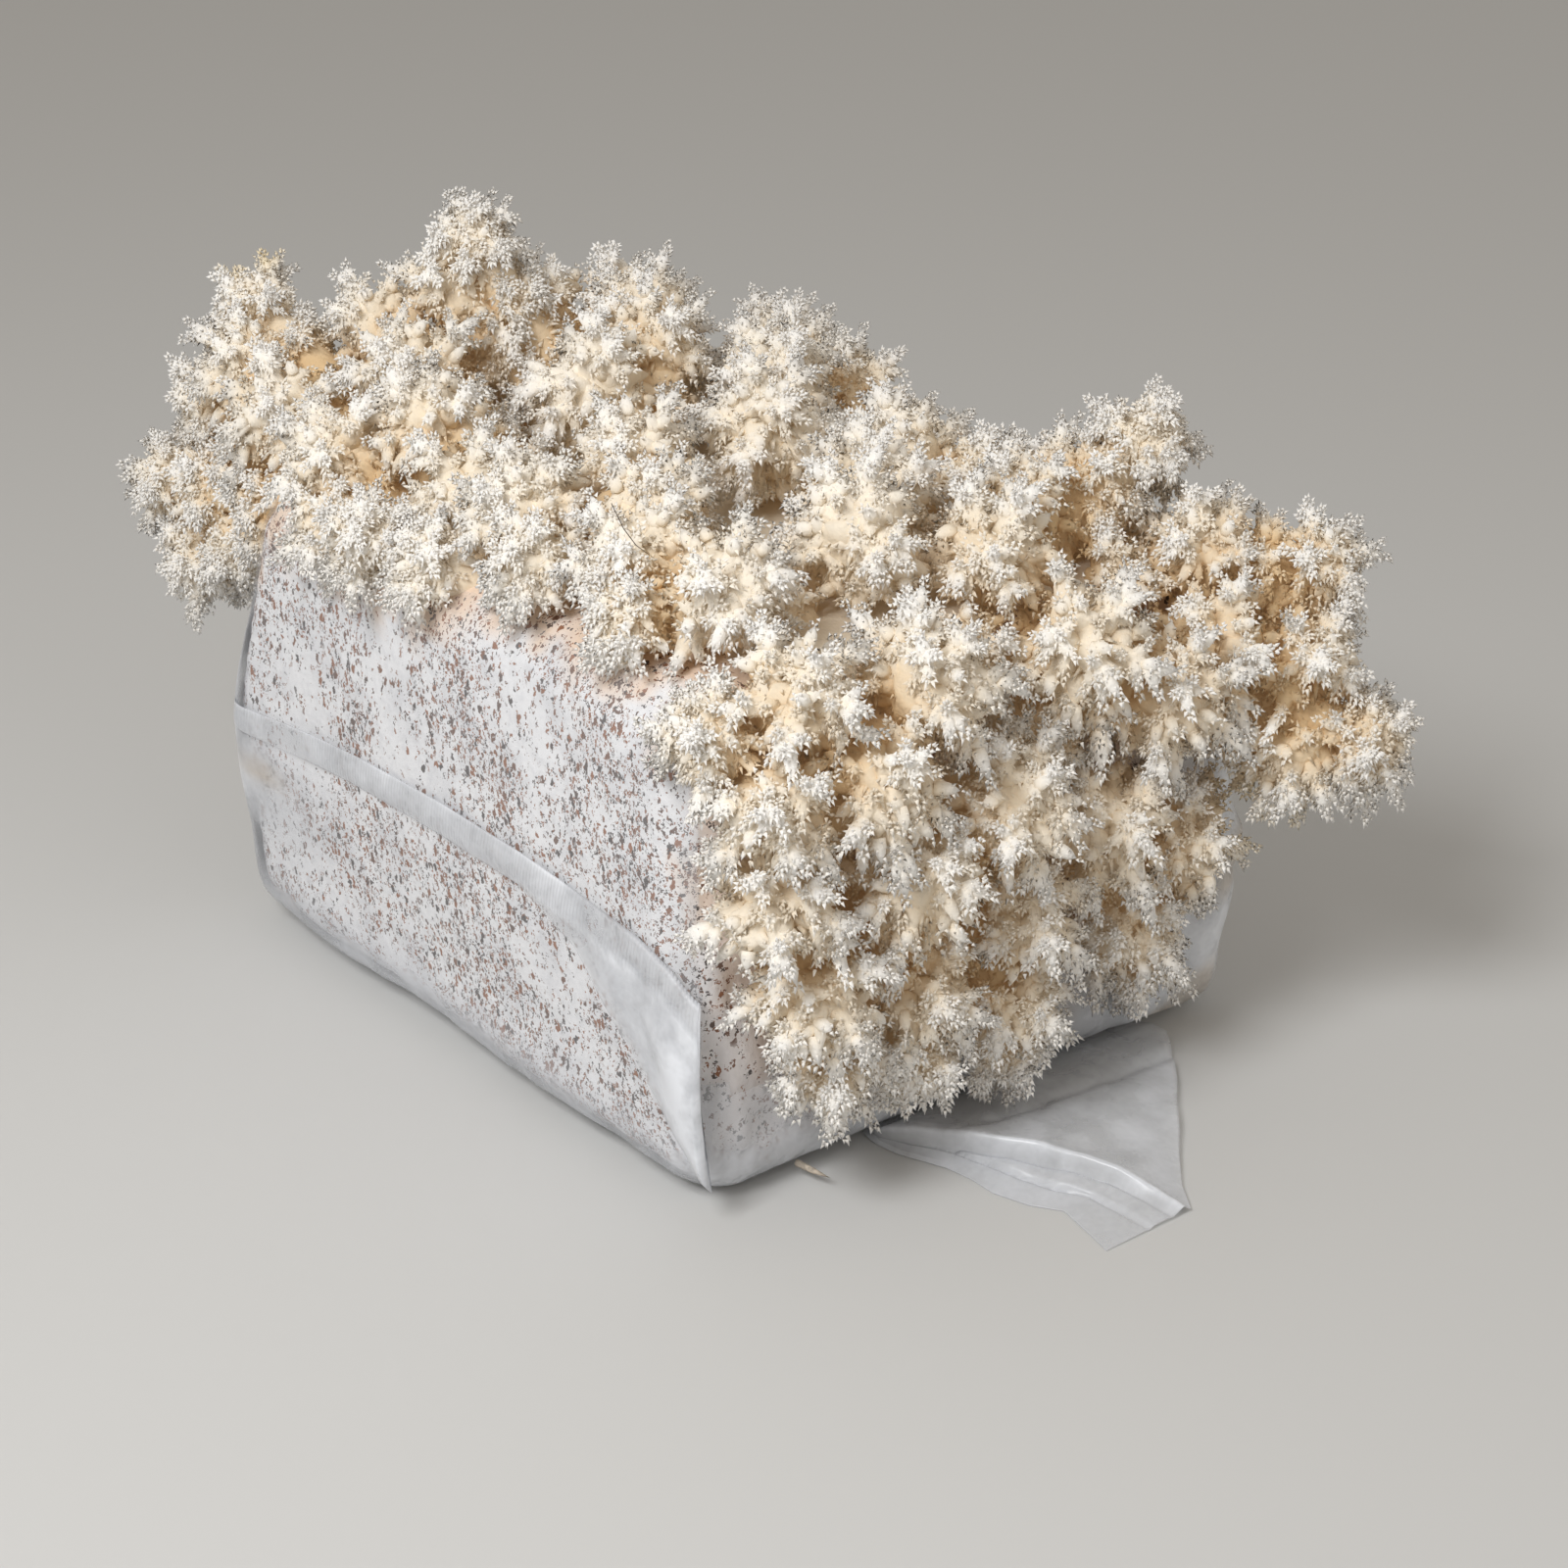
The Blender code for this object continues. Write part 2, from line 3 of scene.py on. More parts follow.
import bpy
import numpy as np
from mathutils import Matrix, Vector


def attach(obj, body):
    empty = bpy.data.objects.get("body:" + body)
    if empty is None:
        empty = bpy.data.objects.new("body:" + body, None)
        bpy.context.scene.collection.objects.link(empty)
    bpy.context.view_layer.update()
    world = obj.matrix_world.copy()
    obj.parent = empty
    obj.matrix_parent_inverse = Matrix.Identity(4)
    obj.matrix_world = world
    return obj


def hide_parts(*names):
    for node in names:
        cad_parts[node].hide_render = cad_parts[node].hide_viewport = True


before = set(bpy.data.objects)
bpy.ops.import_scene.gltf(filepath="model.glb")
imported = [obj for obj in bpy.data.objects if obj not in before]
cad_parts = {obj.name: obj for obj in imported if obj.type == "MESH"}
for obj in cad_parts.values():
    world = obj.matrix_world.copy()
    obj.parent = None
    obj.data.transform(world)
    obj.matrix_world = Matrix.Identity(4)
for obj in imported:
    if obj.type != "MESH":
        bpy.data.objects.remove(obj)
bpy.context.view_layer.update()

# Lions mane mushroom grow kit: the looks, in metres.
#
# Origin at the middle of the bag's flat bottom, +X along the block to the end that the
# mushroom drapes over, +Y away from the face with the sealed seam, +Z up.

# The bagged block, as in the solids: its size, its edges, the lean of its -X end, the bulge
# of its near face, its lumps, and how far the block lies inside the film
BAG_LENGTH = 0.203
BAG_DEPTH = 0.167
BAG_HEIGHT = 0.128
HALVES = np.array([BAG_LENGTH, BAG_DEPTH, BAG_HEIGHT]) / 2.0
EDGE_RADIUS = 0.015
END_LEAN = 0.016
END_LEAN_FROM = 0.45
END_LEAN_POWER = 1.5
FACE_BULGE = 0.004
BLOCK_INSET = 0.0009
LUMP_HEIGHT = 0.0005
LUMP_SPACING = 0.060
LUMPS_START = 0.030

# The sealed seam on the near face: x, upper edge, lower edge, how far it stands off
SEAM_STATIONS = [
    (-0.0975, 0.065, 0.0585, 0.0004),
    (-0.070, 0.067, 0.059, 0.0010),
    (-0.035, 0.0695, 0.061, 0.0012),
    (0.000, 0.071, 0.062, 0.0012),
    (0.036, 0.071, 0.062, 0.0016),
    (0.058, 0.070, 0.055, 0.0026),
    (0.070, 0.069, 0.044, 0.0034),
    (0.083, 0.068, 0.031, 0.0042),
    (0.095, 0.065, 0.020, 0.0046),
    (0.104, 0.061, 0.011, 0.0046),
]

# The loose mouth of the bag: x, y of the hem, y of the ridge, y of the back edge, height
TAIL_STATIONS = [
    (0.0930, -0.0300, -0.0280, 0.058, 0.0004),
    (0.0970, -0.0310, -0.0290, 0.059, 0.0024),
    (0.1000, -0.0310, -0.0290, 0.060, 0.0046),
    (0.1060, -0.0300, -0.0270, 0.059, 0.0065),
    (0.1180, -0.0250, -0.0195, 0.050, 0.0080),
    (0.1250, -0.0238, -0.0150, 0.044, 0.0085),
    (0.1330, -0.0237, -0.0092, 0.036, 0.0085),
    (0.1420, -0.0207, -0.0030, 0.028, 0.0072),
    (0.1490, -0.0160, 0.0005, 0.021, 0.0060),
    (0.1590, -0.0180, 0.0036, 0.012, 0.0040),
    (0.1670, -0.0197, 0.0050, 0.007, 0.0020),
]

# The mushroom.  Each limb is a fork of its own: first the place where it leaves the
# block, then its heads, each as x, y, z and radius.
LIMBS = {
    "left_drape": [
        (-0.070, -0.066, 0.119, 0.020), (-0.112, -0.060, 0.124, 0.019),
        (-0.134, -0.066, 0.108, 0.019), (-0.148, -0.074, 0.108, 0.013),
        (-0.136, -0.072, 0.090, 0.015)],
    "left_shoulder": [
        (-0.074, -0.046, 0.124, 0.020), (-0.098, -0.066, 0.138, 0.020),
        (-0.122, -0.060, 0.142, 0.020), (-0.138, -0.064, 0.132, 0.014),
        (-0.130, -0.054, 0.156, 0.013)],
    "left_back_drape": [
        (-0.076, -0.004, 0.118, 0.021), (-0.110, -0.024, 0.132, 0.021),
        (-0.118, -0.024, 0.108, 0.020)],
    "left_crest": [
        (-0.048, -0.032, 0.123, 0.023), (-0.074, -0.042, 0.148, 0.020),
        (-0.098, -0.034, 0.153, 0.020)],
    "left_peak": [
        (-0.062, 0.008, 0.122, 0.020), (-0.086, -0.020, 0.164, 0.019),
        (-0.082, -0.018, 0.178, 0.012), (-0.086, 0.004, 0.154, 0.020)],
    "back_left_low": [
        (-0.074, 0.042, 0.120, 0.020), (-0.104, 0.034, 0.128, 0.020),
        (-0.106, 0.048, 0.110, 0.018)],
    "back_left_high": [
        (-0.052, 0.030, 0.122, 0.022), (-0.072, 0.024, 0.152, 0.020),
        (-0.054, 0.016, 0.156, 0.018)],
    "back_corner": [
        (-0.052, 0.062, 0.121, 0.019), (-0.060, 0.066, 0.136, 0.018),
        (-0.080, 0.076, 0.116, 0.018)],
    "front_left_hang": [
        (-0.044, -0.064, 0.122, 0.018), (-0.058, -0.074, 0.138, 0.019),
        (-0.048, -0.082, 0.126, 0.014), (-0.030, -0.084, 0.128, 0.013)],
    "front_left_top": [
        (-0.022, -0.038, 0.123, 0.023), (-0.044, -0.056, 0.146, 0.020),
        (-0.020, -0.062, 0.138, 0.019)],
    "middle_left": [
        (-0.028, 0.002, 0.122, 0.022), (-0.034, -0.014, 0.150, 0.022),
        (-0.040, 0.008, 0.154, 0.018)],
    "front_middle": [
        (0.006, -0.062, 0.122, 0.019), (0.010, -0.064, 0.142, 0.019),
        (0.028, -0.074, 0.138, 0.014), (-0.006, -0.080, 0.127, 0.014)],
    "centre": [
        (0.012, -0.028, 0.123, 0.023), (0.012, -0.034, 0.146, 0.021),
        (0.036, -0.048, 0.142, 0.020)],
    "centre_high": [
        (0.000, 0.026, 0.122, 0.022), (-0.014, 0.028, 0.148, 0.020),
        (0.012, 0.004, 0.148, 0.020)],
    "centre_back": [
        (0.034, 0.046, 0.121, 0.025), (0.028, 0.034, 0.138, 0.020),
        (0.046, 0.044, 0.134, 0.017), (0.038, 0.060, 0.125, 0.019),
        (0.034, 0.076, 0.110, 0.015)],
    "back_middle": [
        (-0.018, 0.054, 0.121, 0.025), (-0.034, 0.048, 0.142, 0.018),
        (-0.024, 0.062, 0.134, 0.018), (0.004, 0.062, 0.124, 0.018)],
    "right_peak": [
        (0.073, 0.024, 0.120, 0.025), (0.092, 0.008, 0.138, 0.021),
        (0.080, 0.026, 0.142, 0.017), (0.074, 0.044, 0.140, 0.018),
        (0.086, 0.060, 0.154, 0.013), (0.072, 0.060, 0.128, 0.015)],
    "front_right_top": [
        (0.052, -0.062, 0.121, 0.020), (0.054, -0.062, 0.142, 0.019),
        (0.078, -0.060, 0.142, 0.020), (0.066, -0.074, 0.136, 0.013)],
    "ridge_right": [
        (0.048, -0.012, 0.123, 0.024), (0.052, 0.004, 0.142, 0.021),
        (0.076, -0.018, 0.144, 0.021), (0.070, -0.036, 0.126, 0.015)],
    "right_corner": [
        (0.082, 0.062, 0.119, 0.019), (0.104, 0.064, 0.130, 0.018),
        (0.114, 0.078, 0.122, 0.018), (0.124, 0.082, 0.128, 0.013),
        (0.094, 0.044, 0.124, 0.015)],
    "right_overhang": [
        (0.092, 0.050, 0.106, 0.020), (0.120, 0.054, 0.114, 0.020),
        (0.130, 0.072, 0.108, 0.018), (0.134, 0.068, 0.090, 0.017),
        (0.146, 0.078, 0.092, 0.013)],
    "end_top_near": [
        (0.088, -0.060, 0.113, 0.021), (0.110, -0.064, 0.128, 0.019),
        (0.116, -0.074, 0.108, 0.018), (0.104, -0.082, 0.122, 0.014),
        (0.110, -0.054, 0.102, 0.015)],
    "end_top_middle": [
        (0.088, -0.026, 0.113, 0.023), (0.116, -0.032, 0.126, 0.021),
        (0.122, -0.050, 0.110, 0.019), (0.098, -0.006, 0.121, 0.015)],
    "end_top_far": [
        (0.090, 0.018, 0.110, 0.022), (0.116, 0.014, 0.122, 0.021),
        (0.124, 0.034, 0.108, 0.019), (0.108, 0.006, 0.102, 0.015)],
    "end_low_near": [
        (0.095, -0.056, 0.072, 0.020), (0.114, -0.072, 0.084, 0.020),
        (0.116, -0.064, 0.060, 0.019), (0.115, -0.058, 0.040, 0.014),
        (0.111, -0.038, 0.068, 0.019)],
    "end_middle": [
        (0.096, -0.018, 0.080, 0.022), (0.122, -0.038, 0.082, 0.020),
        (0.122, -0.012, 0.092, 0.020)],
    "end_low_middle": [
        (0.096, -0.014, 0.054, 0.021), (0.116, -0.034, 0.052, 0.018),
        (0.114, -0.032, 0.033, 0.013), (0.118, -0.004, 0.062, 0.018),
        (0.114, -0.004, 0.038, 0.017), (0.111, -0.002, 0.025, 0.012)],
    "end_low_far": [
        (0.096, 0.032, 0.068, 0.022), (0.118, 0.022, 0.076, 0.020),
        (0.117, 0.046, 0.064, 0.018), (0.113, 0.036, 0.044, 0.016),
        (0.109, 0.043, 0.031, 0.012)],
}
# How long a stem must be to carry smaller heads of its own, and how far along it they are
MIDWAY_HEADS = [(0.022, 0.036, 0.55), (0.036, 1.0, 0.38), (0.036, 1.0, 0.72)]
MIDWAY_SIZE = 0.78

# How a head is made up.  Shares are of its radius; lengths are for a head of HEAD_SIZE.
HEAD_SIZE = 0.019
CORE_SHARE = 0.44
ROOT_SIZE = 0.80
CORE_LUMPS = 0.20
FRINGE_AROUND = 110
FRINGE_LENGTH = 0.0034
FRINGE_RADIUS = 0.00105
LENGTH_SPREAD = (0.7, 1.25)
# How far fingers lean from their stalk and spines from their finger, as on_spiral takes it
FINGER_LEAN = (84.0, 62.0, 1.4, 0.14)
SPINE_LEAN = (76.0, 50.0, 1.0, 0.16)

# The clumps on a head, in an inner and an outer tier.  Clearance is how near the middle of
# another head a clump, or one of its fingers, may come.
INNER = {
    "clumps": 24, "from": 0.36, "to": 0.62, "clearance": 0.50, "stalk_radius": 0.0022,
    "fingers": 4, "finger_length": 0.0046, "finger_radius": 0.0016, "finger_clearance": 0.54,
    "spines": 9, "spine_length": 0.0012, "spine_radius": 0.00054}
OUTER = {
    "clumps": 14, "from": 0.40, "to": 0.80, "clearance": 0.80, "stalk_radius": 0.0023,
    "fingers": 9, "finger_length": 0.0054, "finger_radius": 0.0017, "finger_clearance": 0.80,
    "spines": 22, "spine_length": 0.0012, "spine_radius": 0.00056}
GOLDEN_ANGLE = math.pi * (3.0 - math.sqrt(5.0))
TINY = 1e-9


# Shapes as arrays

def unit(vectors):
    """Each vector divided by its own length."""
    return vectors / np.maximum(np.linalg.norm(vectors, axis=-1, keepdims=True), TINY)


def waves(points, spacing, seed, upright=1.0, count=7):
    """Smooth lumps, mostly from -1 to 1: a sum of sines along random directions, each
    about one spacing long, and longer upright if its share of the pace there is below 1."""
    random = np.random.default_rng(seed)
    directions = unit(random.normal(size=(count, 3)))
    pace = 2.0 * math.pi / spacing * random.uniform(0.7, 1.4, count)
    phases = random.uniform(0.0, 2.0 * math.pi, count)
    points = points * np.array([1.0, 1.0, upright])
    return np.sin(points @ directions.T * pace + phases).sum(-1) / math.sqrt(count)


def smooth_step(values, low, high):
    """0 below low, 1 above high, and 3t^2 - 2t^3 between them."""
    share = np.clip((values - low) / (high - low), 0.0, 1.0)
    return share * share * (3.0 - 2.0 * share)


def fade(values, low, high):
    """1 below low and 0 above high."""
    return 1.0 - smooth_step(values, low, high)


def hump(values, width):
    """1 at zero, falling off on both sides: exp(-(value / width)^2)."""
    return np.exp(-(values / width) ** 2)


def spiral_directions(count):
    """Directions spread evenly over a ball: equal steps of height, turned by the golden
    angle."""
    height = 1.0 - 2.0 * (np.arange(count) + 0.5) / count
    turn = GOLDEN_ANGLE * np.arange(count)
    ring = np.sqrt(1.0 - height * height)
    return np.stack([ring * np.cos(turn), ring * np.sin(turn), height], -1)


def side_axes(axes):
    """Two unit vectors at right angles to each axis and to each other."""
    helper = np.where(np.abs(axes[..., 2:]) < 0.9, [0.0, 0.0, 1.0], [1.0, 0.0, 0.0])
    across = unit(np.cross(axes, helper))
    return across, np.cross(axes, across)


def triangles_of(quads):
    """Each four-sided face cut into two triangles."""
    return np.concatenate([quads[:, [0, 1, 2]], quads[:, [0, 2, 3]]])


def band(low, high, sides):
    """Triangles between two rings of points, given the number of each ring's first."""
    here = np.arange(sides)
    there = (here + 1) % sides
    return triangles_of(np.stack([low + here, low + there, high + there, high + here], -1))


def fan(first, sides, tip):
    """Triangles from a ring of points, given the number of its first, to a tip."""
    here = np.arange(sides)
    return np.stack([first + here, first + (here + 1) % sides, np.full(sides, tip)], -1)


def repeated(faces, size, number):
    """The faces of the first of many like shapes, renumbered for each of them."""
    return (faces[None] + size * np.arange(number)[:, None, None]).reshape(-1, 3)


def tubes(paths, radii, sides):
    """Closed tubes along paths (tube, stop, xyz): a ring at right angles to the whole path
    at each stop but the last, which is a point, and a flat fan over the first ring.
    Returns points, triangles, and each point's share of the way along."""
    number, stops, _ = paths.shape
    stops -= 1
    axes = unit(paths[:, -1] - paths[:, 0])
    across, upward = side_axes(axes)
    turn = 2.0 * math.pi * np.arange(sides)[:, None] / sides
    spokes = np.cos(turn) * across[:, None] + np.sin(turn) * upward[:, None]
    rings = paths[:, :-1, None] + radii[:, :, None, None] * spokes[:, None]
    points = np.concatenate([rings.reshape(number, -1, 3), paths[:, -1:]], 1)
    here = np.arange(sides)
    tip = stops * sides
    faces = [np.stack([np.zeros(sides - 2, int), here[2:], here[1:-1]], -1)]
    faces += [band(stop * sides, (stop + 1) * sides, sides) for stop in range(stops - 1)]
    faces = np.concatenate(faces + [fan(tip - sides, sides, tip)])
    along = np.append(np.repeat(np.arange(stops) / stops, sides), 1.0)
    return points.reshape(-1, 3), repeated(faces, points.shape[1], number), np.tile(along, number)


def balls(rows, columns, directions_to_points, number):
    """Closed balls: a grid of height and turn with one point at each pole, passed through
    a function that turns unit directions (ball, point, xyz) into points."""
    height = math.pi * np.arange(1, rows) / rows
    turn = 2.0 * math.pi * np.arange(columns) / columns
    grid = np.stack([
        np.outer(np.sin(height), np.cos(turn)), np.outer(np.sin(height), np.sin(turn)),
        np.outer(np.cos(height), np.ones(columns))], -1).reshape(-1, 3)
    directions = np.concatenate([grid, [[0.0, 0.0, 1.0], [0.0, 0.0, -1.0]]])
    top = len(grid)
    faces = [fan(0, columns, top), fan(top - columns, columns, top + 1)[:, ::-1]]
    faces += [band(row * columns, (row + 1) * columns, columns)[:, ::-1] for row in range(rows - 2)]
    faces = np.concatenate(faces)
    points = directions_to_points(np.broadcast_to(directions, (number,) + directions.shape))
    return points.reshape(-1, 3), repeated(faces, len(directions), number)


def joined(parts):
    """Several (points, faces, value) parts as one, with the faces renumbered."""
    points, faces, values = zip(*parts)
    starts = np.cumsum([0] + [len(part) for part in points[:-1]])
    faces = [part + start for part, start in zip(faces, starts)]
    return np.concatenate(points), np.concatenate(faces), np.concatenate(values)


def soften_normals(mesh, outward, share):
    """Vertex normals turned part of the way outwards from the middle of their head, so
    that a tuft of fine spines shades as one soft body."""
    own = np.empty(len(mesh.vertices) * 3, np.float32)
    mesh.vertex_normals.foreach_get("vector", own)
    turned = unit(own.reshape(-1, 3) * (1.0 - share[:, None]) + outward * share[:, None])
    mesh.normals_split_custom_set_from_vertices(turned)


def show(made):
    """Put a new object in the scene."""
    bpy.context.scene.collection.objects.link(made)
    return made


def make_piece(name, points, faces, material, replaced, values=None):
    """A smooth mesh from arrays, riding on the frame in place of its CAD nodes."""
    mesh = bpy.data.meshes.new(name)
    mesh.vertices.add(len(points))
    mesh.vertices.foreach_set("co", points.astype(np.float32).ravel())
    mesh.loops.add(faces.size)
    mesh.loops.foreach_set("vertex_index", faces.astype(np.int32).ravel())
    mesh.polygons.add(len(faces))
    mesh.polygons.foreach_set("loop_start", np.arange(0, faces.size, faces.shape[1]))
    mesh.update(calc_edges=True)
    for key, value in (values or {}).items():
        layer = mesh.attributes.new(key, "FLOAT", "POINT")
        layer.data.foreach_set("value", value.astype(np.float32))
    mesh.shade_smooth()
    mesh.materials.append(material)
    piece = show(bpy.data.objects.new(name, mesh))
    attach(piece, "root")
    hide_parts(*replaced)
    return piece


# Node helpers

def feed(tree, node, inputs):
    """Set a node's inputs, each to a value or to another node's output."""
    for key, value in inputs.items():
        if isinstance(value, bpy.types.NodeSocket):
            tree.links.new(value, node.inputs[key])
        else:
            node.inputs[key].default_value = value


def add_node(tree, kind, inputs=None, **settings):
    """A shader node with its settings and inputs."""
    made = tree.nodes.new(kind)
    for key, value in settings.items():
        setattr(made, key, value)
    feed(tree, made, inputs or {})
    return made


# The colour sockets of a Mix node, by number, because several have the same name
MIX_SHARE, MIX_FIRST, MIX_SECOND, MIX_RESULT = 0, 6, 7, 2


def mix_colours(tree, share, first, second, blend="MIX"):
    """The second colour laid over the first by a share."""
    inputs = {MIX_SHARE: share, MIX_FIRST: first, MIX_SECOND: second}
    return add_node(tree, "ShaderNodeMix", inputs, data_type="RGBA", blend_type=blend).outputs[MIX_RESULT]


def stretched(tree, value, low, high, to_low=0.0, to_high=1.0):
    """A value's range moved to another, and held there."""
    inputs = {"Value": value, "From Min": low, "From Max": high, "To Min": to_low, "To Max": to_high}
    return add_node(tree, "ShaderNodeMapRange", inputs).outputs["Result"]


def worked(tree, operation, first, second):
    """One step of arithmetic."""
    return add_node(tree, "ShaderNodeMath", {0: first, 1: second}, operation=operation).outputs[0]


def times(tree, first, second):
    """Two values multiplied."""
    return worked(tree, "MULTIPLY", first, second)


def noise(tree, place, fineness, detail, roughness=0.5):
    """Cloudy noise from 0 to 1, so many lumps to a metre."""
    inputs = {"Vector": place, "Scale": fineness, "Detail": detail, "Roughness": roughness}
    return add_node(tree, "ShaderNodeTexNoise", inputs).outputs["Fac"]


def vertex_value(tree, name):
    """A value that the mesh carries at each point."""
    return add_node(tree, "ShaderNodeAttribute", attribute_name=name).outputs["Fac"]


def place_on_object(tree):
    """The object's own coordinates."""
    return add_node(tree, "ShaderNodeTexCoord").outputs["Object"]


def raise_bumps(tree, shader, height, strength, distance):
    """Small relief on a surface, from a height."""
    bump = add_node(tree, "ShaderNodeBump", {"Height": height, "Strength": strength, "Distance": distance})
    feed(tree, shader, {"Normal": bump.outputs["Normal"]})


def new_material(name):
    """A material's node tree and its Principled shader."""
    material = bpy.data.materials.new(name)
    material.use_nodes = True
    tree = material.node_tree
    return material, tree, tree.nodes["Principled BSDF"]


def scaled(colour, share):
    """A colour made darker, as opaque as before."""
    return tuple(share * part for part in colour[:3]) + (1.0,)


def make_patches_group():
    """Soft-edged patches of a given spacing: noise, cut between two levels."""
    group = bpy.data.node_groups.new("soft_patches", "ShaderNodeTree")
    group.interface.new_socket("Place", in_out="INPUT", socket_type="NodeSocketVector")
    for name in ("Fineness", "Low", "High"):
        group.interface.new_socket(name, in_out="INPUT", socket_type="NodeSocketFloat")
    group.interface.new_socket("Mask", in_out="OUTPUT", socket_type="NodeSocketFloat")
    given = group.nodes.new("NodeGroupInput")
    clouds = noise(group, given.outputs["Place"], given.outputs["Fineness"], 4.0, 0.6)
    mask = stretched(group, clouds, given.outputs["Low"], given.outputs["High"])
    result = group.nodes.new("NodeGroupOutput")
    group.links.new(mask, result.inputs["Mask"])
    return group


PATCHES = make_patches_group()


def patches(tree, place, fineness, low, high):
    """The patches group in a material."""
    inputs = {"Place": place, "Fineness": fineness, "Low": low, "High": high}
    return add_node(tree, "ShaderNodeGroup", inputs, node_tree=PATCHES).outputs["Mask"]


# Materials

DEEP_ORANGE_AND_SHADE = (0.72, 0.53, 0.31, 1.0)
TAN_TISSUE_AND_SHADE = (0.78, 0.625, 0.43, 1.0)
CREAM_TISSUE = (0.85, 0.755, 0.605, 1.0)
PALE_TISSUE = (0.90, 0.845, 0.745, 1.0)
TIP_WHITE = (0.95, 0.94, 0.92, 1.0)
YELLOW_TINT = (0.95, 0.74, 0.33, 1.0)
# The depth in the growth, as depth_in_growth counts it, at which tissue is fully orange; the darker tan and
# orange of crowded places are partly the tissue's own colour and partly painted shade
DEEPEST = 3.05
# A painted glow: warm emission that stands in for light coming through the tissue and warms its gaps, and how
# bright it is there
PAINTED_GLOW = (1.0, 0.66, 0.36, 1.0)
GLOW_AT_TIPS = 0.16
GLOW_STRENGTH = 0.034


def mushroom_material():
    """Orange to tan deep inside, cream nearer the outside and white on the outer spines: the orange and tan
    in crowded hollows are partly the tissue's own colour and partly painted shade, and a faint warm emission
    is a painted glow in the gaps.
    """
    material, tree, shader = new_material("lions_mane")
    place = place_on_object(tree)
    depth = vertex_value(tree, "depth")
    spine = vertex_value(tree, "spine")
    wander = noise(tree, place, 60.0, 3.0)
    shifted = worked(tree, "ADD", depth, stretched(tree, wander, 0.3, 0.7, -0.2, 0.2))
    shifted = worked(tree, "ADD", shifted, stretched(tree, spine, 0.0, 0.5, 0.35, 0.0))
    # Deeper, more crowded places turn cream, tan and then orange: partly the tissue's own colour, partly
    # painted shade in the hollows
    ramp = add_node(tree, "ShaderNodeValToRGB", {"Fac": worked(tree, "DIVIDE", shifted, DEEPEST)})
    stops = [(0.30, PALE_TISSUE), (0.52, CREAM_TISSUE), (0.80, TAN_TISSUE_AND_SHADE), (1.00, DEEP_ORANGE_AND_SHADE)]
    ramp.color_ramp.elements[0].position, ramp.color_ramp.elements[0].color = stops[0]
    ramp.color_ramp.elements[1].position, ramp.color_ramp.elements[1].color = stops[-1]
    for position, colour in stops[1:-1]:
        ramp.color_ramp.elements.new(position).color = colour
    # Crowded places stay less white: part of the painted shade
    whiteness = times(tree, stretched(tree, spine, 0.0, 0.8), stretched(tree, depth, 2.4, 1.6))
    tipped = mix_colours(tree, whiteness, ramp.outputs["Color"], TIP_WHITE)
    yellow = times(tree, patches(tree, place, 22.0, 0.62, 0.78), 0.15)
    yellow = worked(tree, "ADD", yellow, vertex_value(tree, "yellow"))
    colour = mix_colours(tree, yellow, tipped, YELLOW_TINT, "MULTIPLY")
    # Painted glow: a faint warm emission, weaker on the white tips, as if light came through the tissue
    painted_glow = mix_colours(tree, whiteness, PAINTED_GLOW, scaled(PAINTED_GLOW, GLOW_AT_TIPS))
    feed(tree, shader, {
        "Base Color": colour, "Roughness": 0.85, "Specular IOR Level": 0.08,
        "Emission Color": painted_glow, "Emission Strength": GLOW_STRENGTH})
    raise_bumps(tree, shader, noise(tree, place, 700.0, 3.0), 0.5, 0.0008)
    return material


MYCELIUM_WHITE = (0.84, 0.845, 0.865, 1.0)
MYCELIUM_GREY = (0.57, 0.58, 0.62, 1.0)
FLECK_RUST = (0.29, 0.125, 0.062, 1.0)
FLECK_DARK = (0.085, 0.072, 0.068, 1.0)
PEACH_PATCH = (0.82, 0.62, 0.46, 1.0)
PINK_END = (0.82, 0.76, 0.74, 1.0)
FLECK_JITTER = (0.0026, 0.0026, 0.0026)
FLECK_COVER = 0.97
# The fine and the coarse flecks: room for how many in a metre, where their pattern
# starts, and their share of the density
FLECK_LAYERS = [(920.0, 0.0, 1.0), (540.0, 0.4, 0.45)]


def fleck_layer(tree, place, fineness, seed, density):
    """Small uneven flecks, longer than they are wide: cells of a stretched pattern, of
    which only a share are kept.  Returns their mask and a random shade for each."""
    turned = add_node(tree, "ShaderNodeMapping", {
        "Vector": place, "Location": (seed, seed, seed), "Rotation": (0.25, 0.35, 0.2),
        "Scale": (1.0, 1.0, 0.68)})
    jitter = add_node(tree, "ShaderNodeTexNoise", {"Vector": place, "Scale": fineness * 1.4, "Detail": 2.0})
    push = add_node(tree, "ShaderNodeVectorMath", {0: jitter.outputs["Color"], 1: FLECK_JITTER},
                    operation="MULTIPLY")
    moved = add_node(tree, "ShaderNodeVectorMath", {0: turned.outputs["Vector"], 1: push.outputs["Vector"]},
                     operation="ADD")
    cells = add_node(tree, "ShaderNodeTexVoronoi", {"Vector": moved.outputs["Vector"], "Scale": fineness})
    chance = add_node(tree, "ShaderNodeSeparateColor", {"Color": cells.outputs["Color"]})
    kept = stretched(tree, worked(tree, "SUBTRACT", density, chance.outputs["Red"]), 0.0, 0.03)
    body = stretched(tree, cells.outputs["Distance"], 0.46, 0.38)
    return times(tree, kept, body), chance.outputs["Green"]


